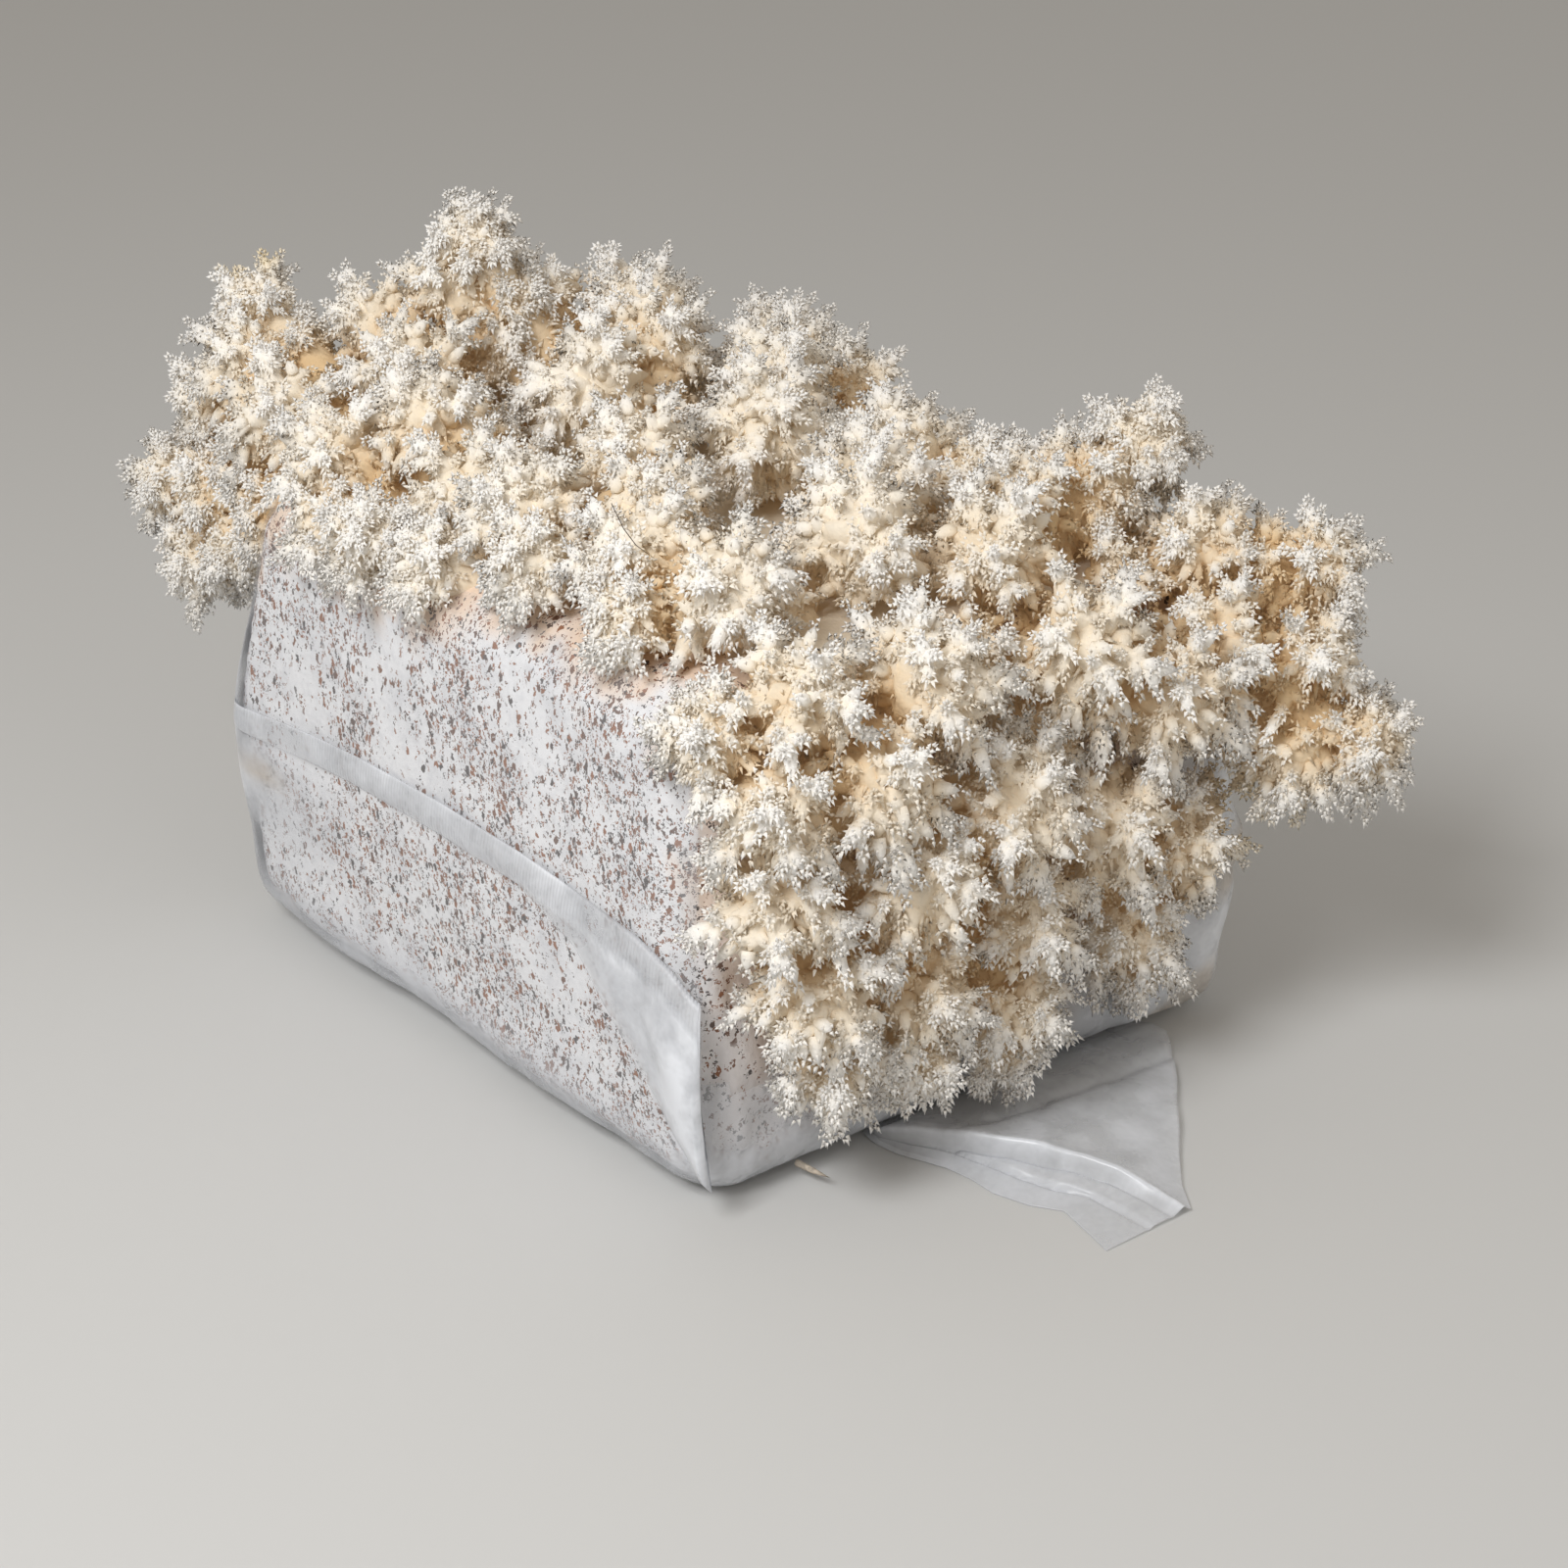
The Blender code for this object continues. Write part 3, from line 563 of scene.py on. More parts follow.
def block_material():
    """White mycelium with blue-grey areas and rust-brown sawdust flecks of uneven density."""
    material, tree, shader = new_material("colonised_sawdust")
    place = place_on_object(tree)
    grey = times(tree, patches(tree, place, 60.0, 0.46, 0.70), 0.6)
    base = mix_colours(tree, grey, MYCELIUM_WHITE, MYCELIUM_GREY)
    mottled = times(tree, patches(tree, place, 420.0, 0.48, 0.66), 0.30)
    base = mix_colours(tree, mottled, base, MYCELIUM_GREY)
    uneven = noise(tree, place, 30.0, 4.0)
    density = stretched(tree, uneven, 0.36, 0.60, 0.18, 1.0)
    growth = vertex_value(tree, "growth")
    base = mix_colours(tree, times(tree, growth, 0.85), base, PEACH_PATCH)
    base = mix_colours(tree, stretched(tree, growth, 1.0, 1.5, 0.0, 0.9), base, CREAM_TISSUE)
    density = times(tree, density, stretched(tree, growth, 0.6, 1.0, 1.0, 0.5))
    density = times(tree, density, stretched(tree, growth, 1.0, 1.5, 1.0, 0.05))
    end = vertex_value(tree, "end")
    base = mix_colours(tree, times(tree, end, 0.6), base, PINK_END)
    density = times(tree, density, stretched(tree, end, 0.0, 1.0, 1.0, 0.45))
    for fineness, seed, share in FLECK_LAYERS:
        flecks, shade = fleck_layer(tree, place, fineness, seed, times(tree, density, share))
        brown = mix_colours(tree, stretched(tree, shade, 0.2, 0.8), FLECK_RUST, FLECK_DARK)
        base = mix_colours(tree, times(tree, flecks, FLECK_COVER), base, brown)
    feed(tree, shader, {"Base Color": base, "Roughness": 0.8})
    raise_bumps(tree, shader, noise(tree, place, 420.0, 4.0), 0.5, 0.0008)
    return material


FILM_CLEAR = (0.84, 0.86, 0.90, 1.0)
FILM_MILKY = (0.82, 0.845, 0.89, 1.0)
STAIN = (0.52, 0.36, 0.16, 1.0)
CRIMP_FINENESS = 260.0


def film_material(name, base_haze):
    """Thin clear film: glossy, nearly see-through where it lies tight and milky where it
    is loose, as the haze at each point says."""
    material, tree, shader = new_material(name)
    place = place_on_object(tree)
    haze = vertex_value(tree, "haze")
    soft = patches(tree, place, 48.0, 0.38, 0.66)
    smears = times(tree, haze, stretched(tree, soft, 0.0, 1.0, 0.45, 1.15))
    cover = worked(tree, "ADD", smears, base_haze)
    stained = mix_colours(tree, vertex_value(tree, "stain"), FILM_MILKY, STAIN)
    feed(tree, shader, {
        "Base Color": mix_colours(tree, haze, FILM_CLEAR, stained),
        "Alpha": stretched(tree, cover, 0.0, 1.0),
        "Roughness": stretched(tree, soft, 0.0, 1.0, 0.22, 0.36), "IOR": 1.45})
    creases = noise(tree, place, 90.0, 5.0)
    teeth = add_node(tree, "ShaderNodeTexWave", {"Vector": place, "Scale": CRIMP_FINENESS, "Distortion": 1.5})
    crimps = times(tree, teeth.outputs["Fac"], vertex_value(tree, "crimp"))
    height = worked(tree, "ADD", creases, times(tree, crimps, 0.35))
    raise_bumps(tree, shader, height, 0.35, 0.001)
    return material


# The bagged block

# The share of a face's grid rows that lie on its flat part, and how far in from the edge,
# in edge radii, the row midway between the two lies
FLAT_ROW = 0.50
EDGE_ROW_SHARE = 0.45


def grid_place(share, half):
    """Where a row of the block's grid lies: spread evenly over the flat part of a face
    and then gathered round its edge."""
    rows = (0.0, FLAT_ROW, (1.0 + FLAT_ROW) / 2.0, 1.0)
    places = (0.0, half - EDGE_RADIUS, half - EDGE_ROW_SHARE * EDGE_RADIUS, half)
    return np.copysign(np.interp(np.abs(share), rows, places), share)


def lean_at(height):
    """How far the -X end leans in at a height, given as a share of the bag's."""
    return END_LEAN * np.clip((height - END_LEAN_FROM) / (1.0 - END_LEAN_FROM), 0.0, 1.0) ** END_LEAN_POWER


def bulge_at(height):
    """How far the near face stands out at a height, given as a share of the bag's."""
    return FACE_BULGE * np.maximum(0.0, 4.0 * height * (1.0 - height))


def brick(shares, offset, radius=EDGE_RADIUS):
    """Points of the bagged block over a cube's surface: a box with round edges, leaned in
    at its -X end towards the top, bulged on its near face, lumpy above the floor, and
    moved out along its normals.  Returns points and normals."""
    on_box = np.stack([grid_place(shares[:, i], HALVES[i]) for i in range(3)], -1)
    inner = np.clip(on_box, radius - HALVES, HALVES - radius)
    normals = unit(on_box - inner)
    points = inner + normals * radius
    height = (points[:, 2] + HALVES[2]) / BAG_HEIGHT
    above_floor = np.clip((points[:, 2] + HALVES[2]) / LUMPS_START, 0.0, 1.0)
    shift = np.stack([
        lean_at(height) * np.maximum(0.0, -points[:, 0] / HALVES[0]) ** 2,
        -bulge_at(height) * np.maximum(0.0, -points[:, 1] / HALVES[1]) ** 3,
        np.full(len(points), HALVES[2])], -1)
    lumps = waves(points, LUMP_SPACING, 5) * LUMP_HEIGHT * above_floor
    return points + shift + normals * (offset + lumps)[:, None], normals


def cube_grid(rows):
    """A cube's surface from -1 to 1: six grids of two parameters that share their edge
    rows.  Returns its points and four-sided faces."""
    steps = np.arange(rows + 1)
    across, along = np.meshgrid(steps, steps, indexing="ij")
    quads = []
    for axis in range(3):
        for side in (0, rows):
            grid = np.zeros((rows + 1, rows + 1, 3), int)
            grid[..., axis] = side
            grid[..., (axis + 1) % 3] = across
            grid[..., (axis + 2) % 3] = along
            corners = np.stack([grid[:-1, :-1], grid[1:, :-1], grid[1:, 1:], grid[:-1, 1:]], -2)
            corners = corners.reshape(-1, 4, 3)
            quads.append(corners if side else corners[:, ::-1])
    corners = np.concatenate(quads).reshape(-1, 3)
    places, index = np.unique(corners, axis=0, return_inverse=True)
    return places * 2.0 / rows - 1.0, index.reshape(-1, 4)


def brick_distance(points):
    """How far points lie outside the bagged block, below zero inside: the distance to a
    box with round edges, with the lean of its -X end taken out first."""
    moved = points - np.array([0.0, 0.0, HALVES[2]])
    leaning = np.clip(-points[..., 0] / HALVES[0], 0.0, 1.0) ** 2
    moved[..., 0] -= lean_at(points[..., 2] / BAG_HEIGHT) * leaning
    beyond = np.abs(moved) - (HALVES - EDGE_RADIUS)
    outside = np.linalg.norm(np.maximum(beyond, 0.0), axis=-1)
    return outside + np.minimum(beyond.max(-1), 0.0) - EDGE_RADIUS


BLOCK_ROWS = 60
BLISTER_FILL = 0.75
GROWTH_REACH = 0.006
# The growth's own tissue covers the block's flat top, where it hides the flecks
BED_LOWEST = 0.1230
BED_TOP = 0.1255
BED_COVER = 1.6


def make_block(material):
    """The sawdust block: the brick surface with small dents, tinted where the mushroom
    grows out of it."""
    shares, quads = cube_grid(BLOCK_ROWS)
    points, normals = brick(shares, -BLOCK_INSET)
    points += normals * (BLISTER_FILL * lifted(points))[:, None]
    dents = 0.00018 * waves(points, 0.007, 11) - 0.0001
    end = smooth_step(points[:, 0], 0.094, 0.101)
    wrinkles = 0.0010 * (waves(points, 0.010, 13, 0.6) - 1.0) * end
    points += normals * (dents + wrinkles)[:, None]
    near = np.linalg.norm(points[:, None] - HEAD_PLACES[None], axis=-1) - HEAD_RADII
    growth = smooth_step(0.003 * waves(points, 0.013, 17) - near.min(1), -GROWTH_REACH, 0.001)
    from_middle = np.abs(points[:, 1]) + 0.005 * waves(points, 0.020, 18)
    bed = smooth_step(points[:, 2], BED_LOWEST, BED_TOP) * fade(from_middle, 0.056, 0.070)
    growth = np.maximum(growth, BED_COVER * bed)
    make_piece("sawdust_block", points, triangles_of(quads), material, ["substrate_block"],
               {"growth": growth, "end": end})


FILM_ROWS = 60
FILM_EDGE_RADIUS = 0.0145
# Where air has lifted the film: the middle of the blister, its reach, and its height
BLISTERS = [
    ((-0.1015, -0.078, 0.048), (0.030, 0.040, 0.034), 0.0050),
    ((0.1015, 0.078, 0.040), (0.030, 0.034, 0.034), 0.0060),
    ((-0.064, -0.0835, 0.012), (0.024, 0.020, 0.012), 0.0034),
    ((0.026, -0.0835, 0.010), (0.042, 0.020, 0.010), 0.0026),
]
FILM_THICKNESS = 0.00012
# The slanting fold low on the far corner of the +X end: its height at y = 0, and its slope
FAR_FOLD_HEIGHT = 0.010
FAR_FOLD_SLOPE = 0.40
LOBE_HEIGHT = 0.0010


def lifted(points):
    """How far the film stands off the block at each point, as a sum of blisters
    exp(-((x - a) / reach)^2) in all three directions, none at the floor."""
    height = np.zeros(points.shape[:-1])
    for middle, reach, top in BLISTERS:
        height += top * np.exp(-(((points - np.array(middle)) / np.array(reach)) ** 2).sum(-1))
    return height * smooth_step(points[..., 2], 0.0005, 0.008)


def film_haze(points):
    """How milky the film is: along the bottom and the upright edges, and at the left end
    under the seam, where a yellowish stain lies.  Returns haze and stain."""
    x, y, z = points.T
    low = fade(z, 0.004, 0.024)
    beyond = np.abs(np.stack([x, y], -1)) - (HALVES[:2] - 0.006)
    corner = smooth_step(beyond.min(-1), -0.010, 0.004) * (1.0 - smooth_step(x, 0.0, 0.05) * (y < 0.0))
    left_ear = hump(x + 0.084, 0.020) * hump(z - 0.044, 0.013) * (y < -0.07)
    stain = 0.85 * hump(x + 0.082, 0.010) * hump(z - 0.049, 0.0035) * (y < -0.07)
    far_corner = smooth_step(x, 0.090, 0.098) * smooth_step(y, 0.010, 0.040)
    stain += 0.42 * far_corner * smooth_step(waves(points, 0.028, 28), 0.05, 0.9)
    far_end = smooth_step(x, 0.092, 0.100) * (0.18 + 0.52 * smooth_step(y, -0.060, 0.030))
    left_end = 0.55 * fade(x, -0.100, -0.090)
    haze = np.clip(0.55 * low + 0.4 * corner + 0.6 * left_ear + far_end + left_end, 0.0, 0.95)
    return haze, stain


def give_wall(piece, side):
    """The film's thickness, on the inner (-1) or the outer (1) side of its surface."""
    wall = piece.modifiers.new("wall", "SOLIDIFY")
    wall.thickness = FILM_THICKNESS
    wall.offset = side


def film_relief(points):
    """How far the film's own relief stands off: upright creases, lobes along the bottom
    edge, wrinkles at the near foot of the +X end and on the -X end, and at the far corner
    wrinkles with a slanting fold, which is a ridge over a groove.  None at the floor."""
    x, y, z = points.T
    creases = 0.00016 * waves(points, 0.011, 21, 0.35) + 0.00006 * waves(points, 0.004, 22, 0.35)
    lobes = np.maximum(0.0, waves(points, 0.055, 24)) * hump(z - 0.012, 0.010)
    near_foot = smooth_step(x, 0.090, 0.099) * fade(y, -0.045, -0.015)
    near_foot *= fade(z, 0.045, 0.060)
    wrinkles = 0.0007 * near_foot * np.abs(waves(points, 0.013, 26, 0.6))
    far_corner = smooth_step(x, 0.086, 0.096) * smooth_step(y, 0.015, 0.045)
    over_fold = z - FAR_FOLD_HEIGHT - FAR_FOLD_SLOPE * y
    folds = 0.0022 * hump(over_fold - 0.008, 0.005) - 0.0012 * hump(over_fold, 0.003)
    folds += 0.0007 * np.abs(waves(points, 0.017, 27, 0.5))
    left_folds = 0.0005 * np.abs(waves(points, 0.024, 29, 0.4))
    left_folds *= fade(x, -0.099, -0.090)
    wrinkles = wrinkles + far_corner * folds + left_folds
    return (creases + wrinkles + LOBE_HEIGHT * lobes) * smooth_step(z, 0.0005, 0.010)


def in_mouth(middles, places):
    """True for faces inside the bag's mouth, where the growth comes out: a ragged opening
    over most of the top and the upper part of the +X end.  Middles run from -1 to 1."""
    x, y, z = middles.T
    rim = 0.03 * waves(places, 0.020, 23)
    on_top = (z > 0.70) & (x > rim - 0.80) & (np.abs(y) < 0.90 + rim)
    on_end = (x > 0.85) & (z > rim - 0.30) & (np.abs(y + 0.25) < 0.70 + rim)
    return on_top | on_end


def make_film(material):
    """The film round the block: the brick surface with its relief, cut open at the mouth."""
    shares, quads = cube_grid(FILM_ROWS)
    points, normals = brick(shares, 0.0, FILM_EDGE_RADIUS)
    points += normals * (film_relief(points) + lifted(points))[:, None]
    kept = quads[~in_mouth(shares[quads].mean(1), points[quads].mean(1))]
    used, index = np.unique(kept, return_inverse=True)
    haze, stain = film_haze(points[used])
    piece = make_piece("bag_film", points[used], triangles_of(index.reshape(-1, 4)), material,
                       ["grow_bag"], {"haze": haze, "stain": stain})
    give_wall(piece, -1.0)


def loft(rows):
    """A closed tube through rows of points (station, point, xyz), each row a closed ring,
    with a fan over the first and the last.  Returns points and triangles."""
    stations, size, _ = rows.shape
    end = stations * size
    faces = [band(station * size, (station + 1) * size, size) for station in range(stations - 1)]
    faces += [fan(0, size, end)[:, ::-1], fan(end - size, size, end + 1)]
    points = np.concatenate([rows.reshape(-1, 3), rows[0].mean(0)[None], rows[-1].mean(0)[None]])
    return points, np.concatenate(faces)


def along_stations(stations, x):
    """The other columns of a table of stations, at each x."""
    table = np.array(stations).T
    return [np.interp(x, table[0], column) for column in table[1:]]


def near_face(x, z):
    """y of the bag's near face at x and z: its bulge, and the round edge at its far end."""
    round_edge = np.clip(-x - (HALVES[0] - FILM_EDGE_RADIUS), 0.0, FILM_EDGE_RADIUS)
    drop = FILM_EDGE_RADIUS - np.sqrt(FILM_EDGE_RADIUS ** 2 - round_edge ** 2)
    on_face = np.stack([x, np.full_like(x, -HALVES[1]), z], -1)
    return drop - HALVES[1] - bulge_at(z / BAG_HEIGHT) - lifted(on_face)


SEAM_SECTIONS = 150
SEAM_ROWS = 22
SEAL_WIDTH = 0.0085
PUFF_HEIGHT = 0.0012


def seam_haze(points, below, above_hem):
    """How milky the seam is, and where it is sealed: clearer and milkier stretches of the
    sealed strip, its two rims, and the loose ear with its end."""
    x = points[:, 0]
    seal = fade(below, SEAL_WIDTH * 0.9, SEAL_WIDTH * 1.05)
    rim = hump(below, 0.0008) + hump(below - SEAL_WIDTH, 0.0007)
    ear = smooth_step(x, 0.050, 0.080) * (1.0 - seal) * smooth_step(above_hem, 0.0, 0.014)
    ear += 0.6 * smooth_step(x, 0.080, 0.098) * (1.0 - seal)
    edge = smooth_step(x, 0.098, 0.105)
    stretch = smooth_step(waves(points, 0.045, 34), -0.5, 0.6)
    haze = 0.22 + (0.08 + 0.38 * stretch) * seal + 0.25 * rim + 0.45 * ear + 0.25 * edge
    return np.clip(haze, 0.0, 1.0), seal


def make_seam(material):
    """The sealed seam and its ear: at each x a flat pocket from the upper edge down to a
    free lower edge, its outer sheet standing off the face and its inner sheet behind."""
    x = np.linspace(SEAM_STATIONS[0][0], SEAM_STATIONS[-1][0] + 0.002, SEAM_SECTIONS)
    upper, lower, proud = along_stations(SEAM_STATIONS, x)
    down = np.linspace(0.0, 1.0, SEAM_ROWS)
    z = upper[:, None] + (lower - upper)[:, None] * down
    spread = np.broadcast_to(x[:, None], z.shape)
    face = near_face(spread, z)
    swell = np.sin(down * math.pi) ** 0.6 * (0.35 + 0.65 * down)
    flat = np.stack([spread, face, z], -1)
    flutter = waves(flat, 0.018, 31)
    puff = PUFF_HEIGHT * waves(flat, 0.014, 33, 0.4)
    puff *= smooth_step(spread, 0.060, 0.080)
    outer = face - 0.0002 - proud[:, None] * swell * (0.85 + 0.15 * flutter) - puff * swell
    inner = face - 0.0001 - proud[:, None] * swell * 0.35
    front, back = [np.stack([spread, sheet, z], -1) for sheet in (outer, inner)]
    points, faces = loft(np.concatenate([front, back[:, -2:0:-1]], 1))
    below = np.interp(points[:, 0], x, upper) - points[:, 2]
    above_hem = points[:, 2] - np.interp(points[:, 0], x, lower)
    haze, seal = seam_haze(points, below, above_hem)
    make_piece("bag_seam", points, faces, material, ["grow_bag"],
               {"haze": haze, "stain": np.zeros(len(points)), "crimp": seal})


TAIL_SECTIONS = 110
TAIL_ROWS = 70
TAIL_FLOOR_GAP = 0.0003
# The lower fold line: x, and its share of the way from the ridge to the hem
LOWER_FOLD = [(0.112, 0.10), (0.128, 0.40), (0.142, 0.50), (0.168, 0.42)]
UPPER_FOLD_SHARE = 0.15
TAIL_CREASE = 0.115


def tail_height(x, away, behind):
    """Height of the loose mouth as a share of its ridge's: two layers that slope up from
    the hem with a groove at the foot of each, and a rolled ridge; behind it a plane that
    falls to the back edge, with a crease beside the block."""
    [fold] = along_stations(LOWER_FOLD, x)
    layers = 0.34 * (1.0 - away) + 0.14 * smooth_step(fold - away, -0.02, 0.03)
    grooves = 0.17 * hump(away - fold - 0.03, 0.026)
    grooves += 0.20 * hump(away - UPPER_FOLD_SHARE, 0.026)
    roll = 0.52 * hump(away, 0.075)
    crease = 0.16 * hump(x - TAIL_CREASE, 0.0022) * smooth_step(behind, 0.0, 0.2)
    return np.where(behind > 0.0, 1.0 - 0.72 * behind ** 0.7 - crease, layers + roll - grooves)


def make_tail(material):
    """The loose mouth lying on the surface: at each x a line from the hem over two folds up
    to the ridge, and down behind it to the back edge."""
    x = np.linspace(TAIL_STATIONS[0][0], TAIL_STATIONS[-1][0], TAIL_SECTIONS)
    hem, ridge, back, height = along_stations(TAIL_STATIONS, x)
    share = np.linspace(-1.0, 1.0, TAIL_ROWS)
    front = share < 0.0
    y = np.where(front, ridge[:, None] + (ridge - hem)[:, None] * share,
                 ridge[:, None] + (back - ridge)[:, None] * share)
    spread = np.broadcast_to(x[:, None], y.shape)
    shape = tail_height(spread, np.maximum(-share, 0.0), np.maximum(share, 0.0))
    z = TAIL_FLOOR_GAP + height[:, None] * np.clip(shape, 0.0, 1.0)
    grid = np.stack([spread, y, z], -1)
    grid[..., 2] += 0.0003 * waves(grid, 0.016, 41) * smooth_step(z, 0.001, 0.003)
    index = np.arange(grid.shape[0] * grid.shape[1]).reshape(grid.shape[:2])
    quads = np.stack([index[:-1, :-1], index[1:, :-1], index[1:, 1:], index[:-1, 1:]], -1).reshape(-1, 4)
    points = grid.reshape(-1, 3)
    crest = hump(np.broadcast_to(share, z.shape).ravel(), 0.06)
    by_block = fade(points[:, 0], 0.112, 0.117) * (points[:, 2] > 0.001)
    haze = np.clip(0.44 + 0.5 * crest - 0.12 * by_block, 0.0, 1.0)
    piece = make_piece("bag_mouth", points, triangles_of(quads), material, ["grow_bag"],
                       {"haze": haze, "stain": np.zeros(len(points))})
    give_wall(piece, 1.0)


# The mushroom

def limb_heads(spots):
    """The heads of a limb, as x, y, z and radius, with smaller ones midway along the long
    stems where they are clear of the block, and last the one at its root."""
    spots = np.array(spots)
    root, heads = spots[0], spots[1:]
    lengths = np.linalg.norm(heads[:, :3] - root[:3], axis=-1)
    found = [heads]
    for shortest, longest, share in MIDWAY_HEADS:
        midway = root + (heads - root) * share
        midway[:, 3] *= MIDWAY_SIZE
        fits = (lengths > shortest) & (lengths <= longest)
        found.append(midway[fits & (brick_distance(midway[:, :3]) > 0.0)])
    return np.concatenate(found + [root[None] * np.array([1.0, 1.0, 1.0, ROOT_SIZE])])


# Yellowed places: where, how far round, how strongly
YELLOWED = [
    ((-0.130, -0.052, 0.173), 0.009, 0.55),
    ((-0.137, -0.056, 0.167), 0.008, 0.40),
    ((0.152, 0.062, 0.124), 0.010, 0.35),
    ((0.122, 0.072, 0.072), 0.024, 0.40),
]
BLOCK_CLEARANCE = 0.0015
FLOOR_CLEARANCE = 0.004
# How far a head's own depth reaches, in radii, and how far the block's does
HEAD_REACH = 1.6
BLOCK_DEPTH_REACH = 0.006
# How much deeper, and so tanner and darker, the tissue is made towards the +X end, and more so at its far
# side: partly its own tan, partly painted shade on the side away from the key light
END_TAN_AND_SHADE = 0.32
FAR_TAN_AND_SHADE = 0.25
LIMB_HEADS = [limb_heads(spots) for spots in LIMBS.values()]
HEAD_PLACES = np.concatenate(LIMB_HEADS)[:, :3]
HEAD_RADII = np.concatenate(LIMB_HEADS)[:, 3]


def buried(points, own, share):
    """True for points in the block, at the floor, or within a share of the radius of a
    head other than their own."""
    gaps = np.linalg.norm(points[:, None] - HEAD_PLACES[None], axis=-1) - share * HEAD_RADII
    if own is not None:
        gaps[np.arange(len(points)), own] = 1.0
    in_block = brick_distance(points) < BLOCK_CLEARANCE
    return (gaps.min(1) < 0.0) | in_block | (points[:, 2] < FLOOR_CLEARANCE)


def depth_in_growth(points):
    """How deep points lie in the growth: about 0.4 at the tips of a lone head, and more
    where heads crowd round a point or the block is near.  Each head of radius R adds
    (1 - (distance / 1.6 R)^2)^2 as far as 1.6 R."""
    depth = 0.35 * np.exp(-np.maximum(brick_distance(points), 0.0) / BLOCK_DEPTH_REACH)
    for place, radius in zip(HEAD_PLACES, HEAD_RADII):
        share = ((points - place) ** 2).sum(-1) / (HEAD_REACH * radius) ** 2
        depth += np.maximum(1.0 - share, 0.0) ** 2
    # Painted shade, with some real tan, towards the +X end and more at its far side
    end = smooth_step(points[:, 0], 0.060, 0.110)
    return depth + end * (END_TAN_AND_SHADE + FAR_TAN_AND_SHADE * smooth_step(points[:, 1], 0.015, 0.065))


def yellowing(points):
    """How far the tissue has yellowed: round a few tips and in one damp hollow."""
    yellow = np.zeros(len(points))
    for place, radius, strength in YELLOWED:
        gap = np.linalg.norm(points - np.array(place), axis=-1)
        yellow = np.maximum(yellow, strength * fade(gap, 0.4 * radius, radius))
    return yellow


def droop_at(directions):
    """How strongly growth hangs: little on top, more on the ends and the sides."""
    return np.clip(0.35 - 0.55 * directions[:, 2], 0.0, 0.7)


CORE_ROWS = 12
CORE_COLUMNS = 18
# A stem's radius as a share of its head's, and how much narrower it is midway
STEM_SHARE = 0.50
STEM_WAIST = 0.22


def cores(heads, seed):
    """The tissue in the middle of each head: a ball with broad lumps and fine ones."""
    places, radii = heads[:, None, :3], heads[:, None, 3:]

    def surface(directions):
        points = places + directions * radii
        lumps = CORE_LUMPS * (waves(points, 0.010, seed) + 0.5 * waves(points, 0.0045, seed + 1))
        return places + directions * radii * (1.0 + lumps[..., None])
    points, faces = balls(CORE_ROWS, CORE_COLUMNS, surface, len(heads))
    return points, faces, np.zeros(len(points))


def stems(root, heads):
    """Thick stems from where the limb leaves the block to each head, narrowed midway."""
    share = np.linspace(0.0, 1.0, 7)[None, :, None]
    paths = root[None, None, :3] * (1.0 - share) + heads[:, None, :3] * share
    share = share[:, :-1, 0]
    narrow = 1.0 - STEM_WAIST * np.sin(share * math.pi)
    thick = STEM_SHARE * (root[3] * (1.0 - share) + heads[:, 3:] * share) * narrow
    points, faces, _ = tubes(paths, thick, 14)
    return points, faces, np.zeros(len(points))


def stem_middles(root, heads):
    """A ball midway along each stem, as thick as the stem is there, to carry its fringe."""
    middles = 0.5 * (root[None, :3] + heads[:, :3])
    radii = STEM_SHARE * (1.0 - STEM_WAIST) * 0.5 * (root[3] + heads[:, 3:])
    return np.concatenate([middles, radii], 1)


def curved(start, direction, length, droop, stops):
    """Paths that set out along a direction and bend down: start + direction t + fall t^2."""
    share = np.linspace(0.0, 1.0, stops)[None, :, None]
    reach = length[:, None, None]
    fall = np.array([0.0, 0.0, -1.0]) * droop[:, None, None]
    return start[:, None] + reach * (direction[:, None] * share + fall * share * share)


def points_along(paths, share):
    """Points at shares of the way along each path (path, stop, xyz)."""
    place = share * (paths.shape[1] - 1)
    stop = np.minimum(place.astype(int), paths.shape[1] - 2)
    part = (place - stop)[..., None]
    rows = np.arange(len(paths))[:, None]
    return paths[rows, stop] * (1.0 - part) + paths[rows, stop + 1] * part


def around_axes(axes, turn, tilt):
    """Directions tilted away from each axis and turned about it."""
    across, upward = side_axes(axes)
    outward = across[:, None] * np.cos(turn)[..., None] + upward[:, None] * np.sin(turn)[..., None]
    return axes[:, None] * np.cos(tilt)[..., None] + outward * np.sin(tilt)[..., None]


def all_round(heads, count, random):
    """Directions spread evenly round each head, the whole set turned at random, and each
    one's head."""
    directions = []
    for _ in heads:
        turn = np.linalg.qr(random.normal(size=(3, 3)))[0]
        directions.append(spiral_directions(count) @ turn)
    return np.concatenate(directions), np.repeat(np.arange(len(heads)), count)


def on_spiral(paths, count, lowest, scatter, lean, random):
    """Places spread along each path from its lowest share up, and the directions in which
    growth leaves them on a spiral.  The lean from the path, in degrees, is
    foot - fall share^power, with a random part in radians."""
    foot, fall, power, uneven = lean
    share = np.linspace(lowest, 1.0, count) + random.normal(0.0, scatter, (len(paths), count))
    share = np.clip(share, 0.05, 1.0)
    turn = random.uniform(0.0, 2.0 * math.pi, (len(paths), 1)) + GOLDEN_ANGLE * np.arange(count)
    tilt = np.radians(foot - fall * share ** power) + random.normal(0.0, uneven, share.shape)
    aim = around_axes(unit(paths[:, -1] - paths[:, 0]), turn, tilt).reshape(-1, 3)
    return points_along(paths, share).reshape(-1, 3), aim


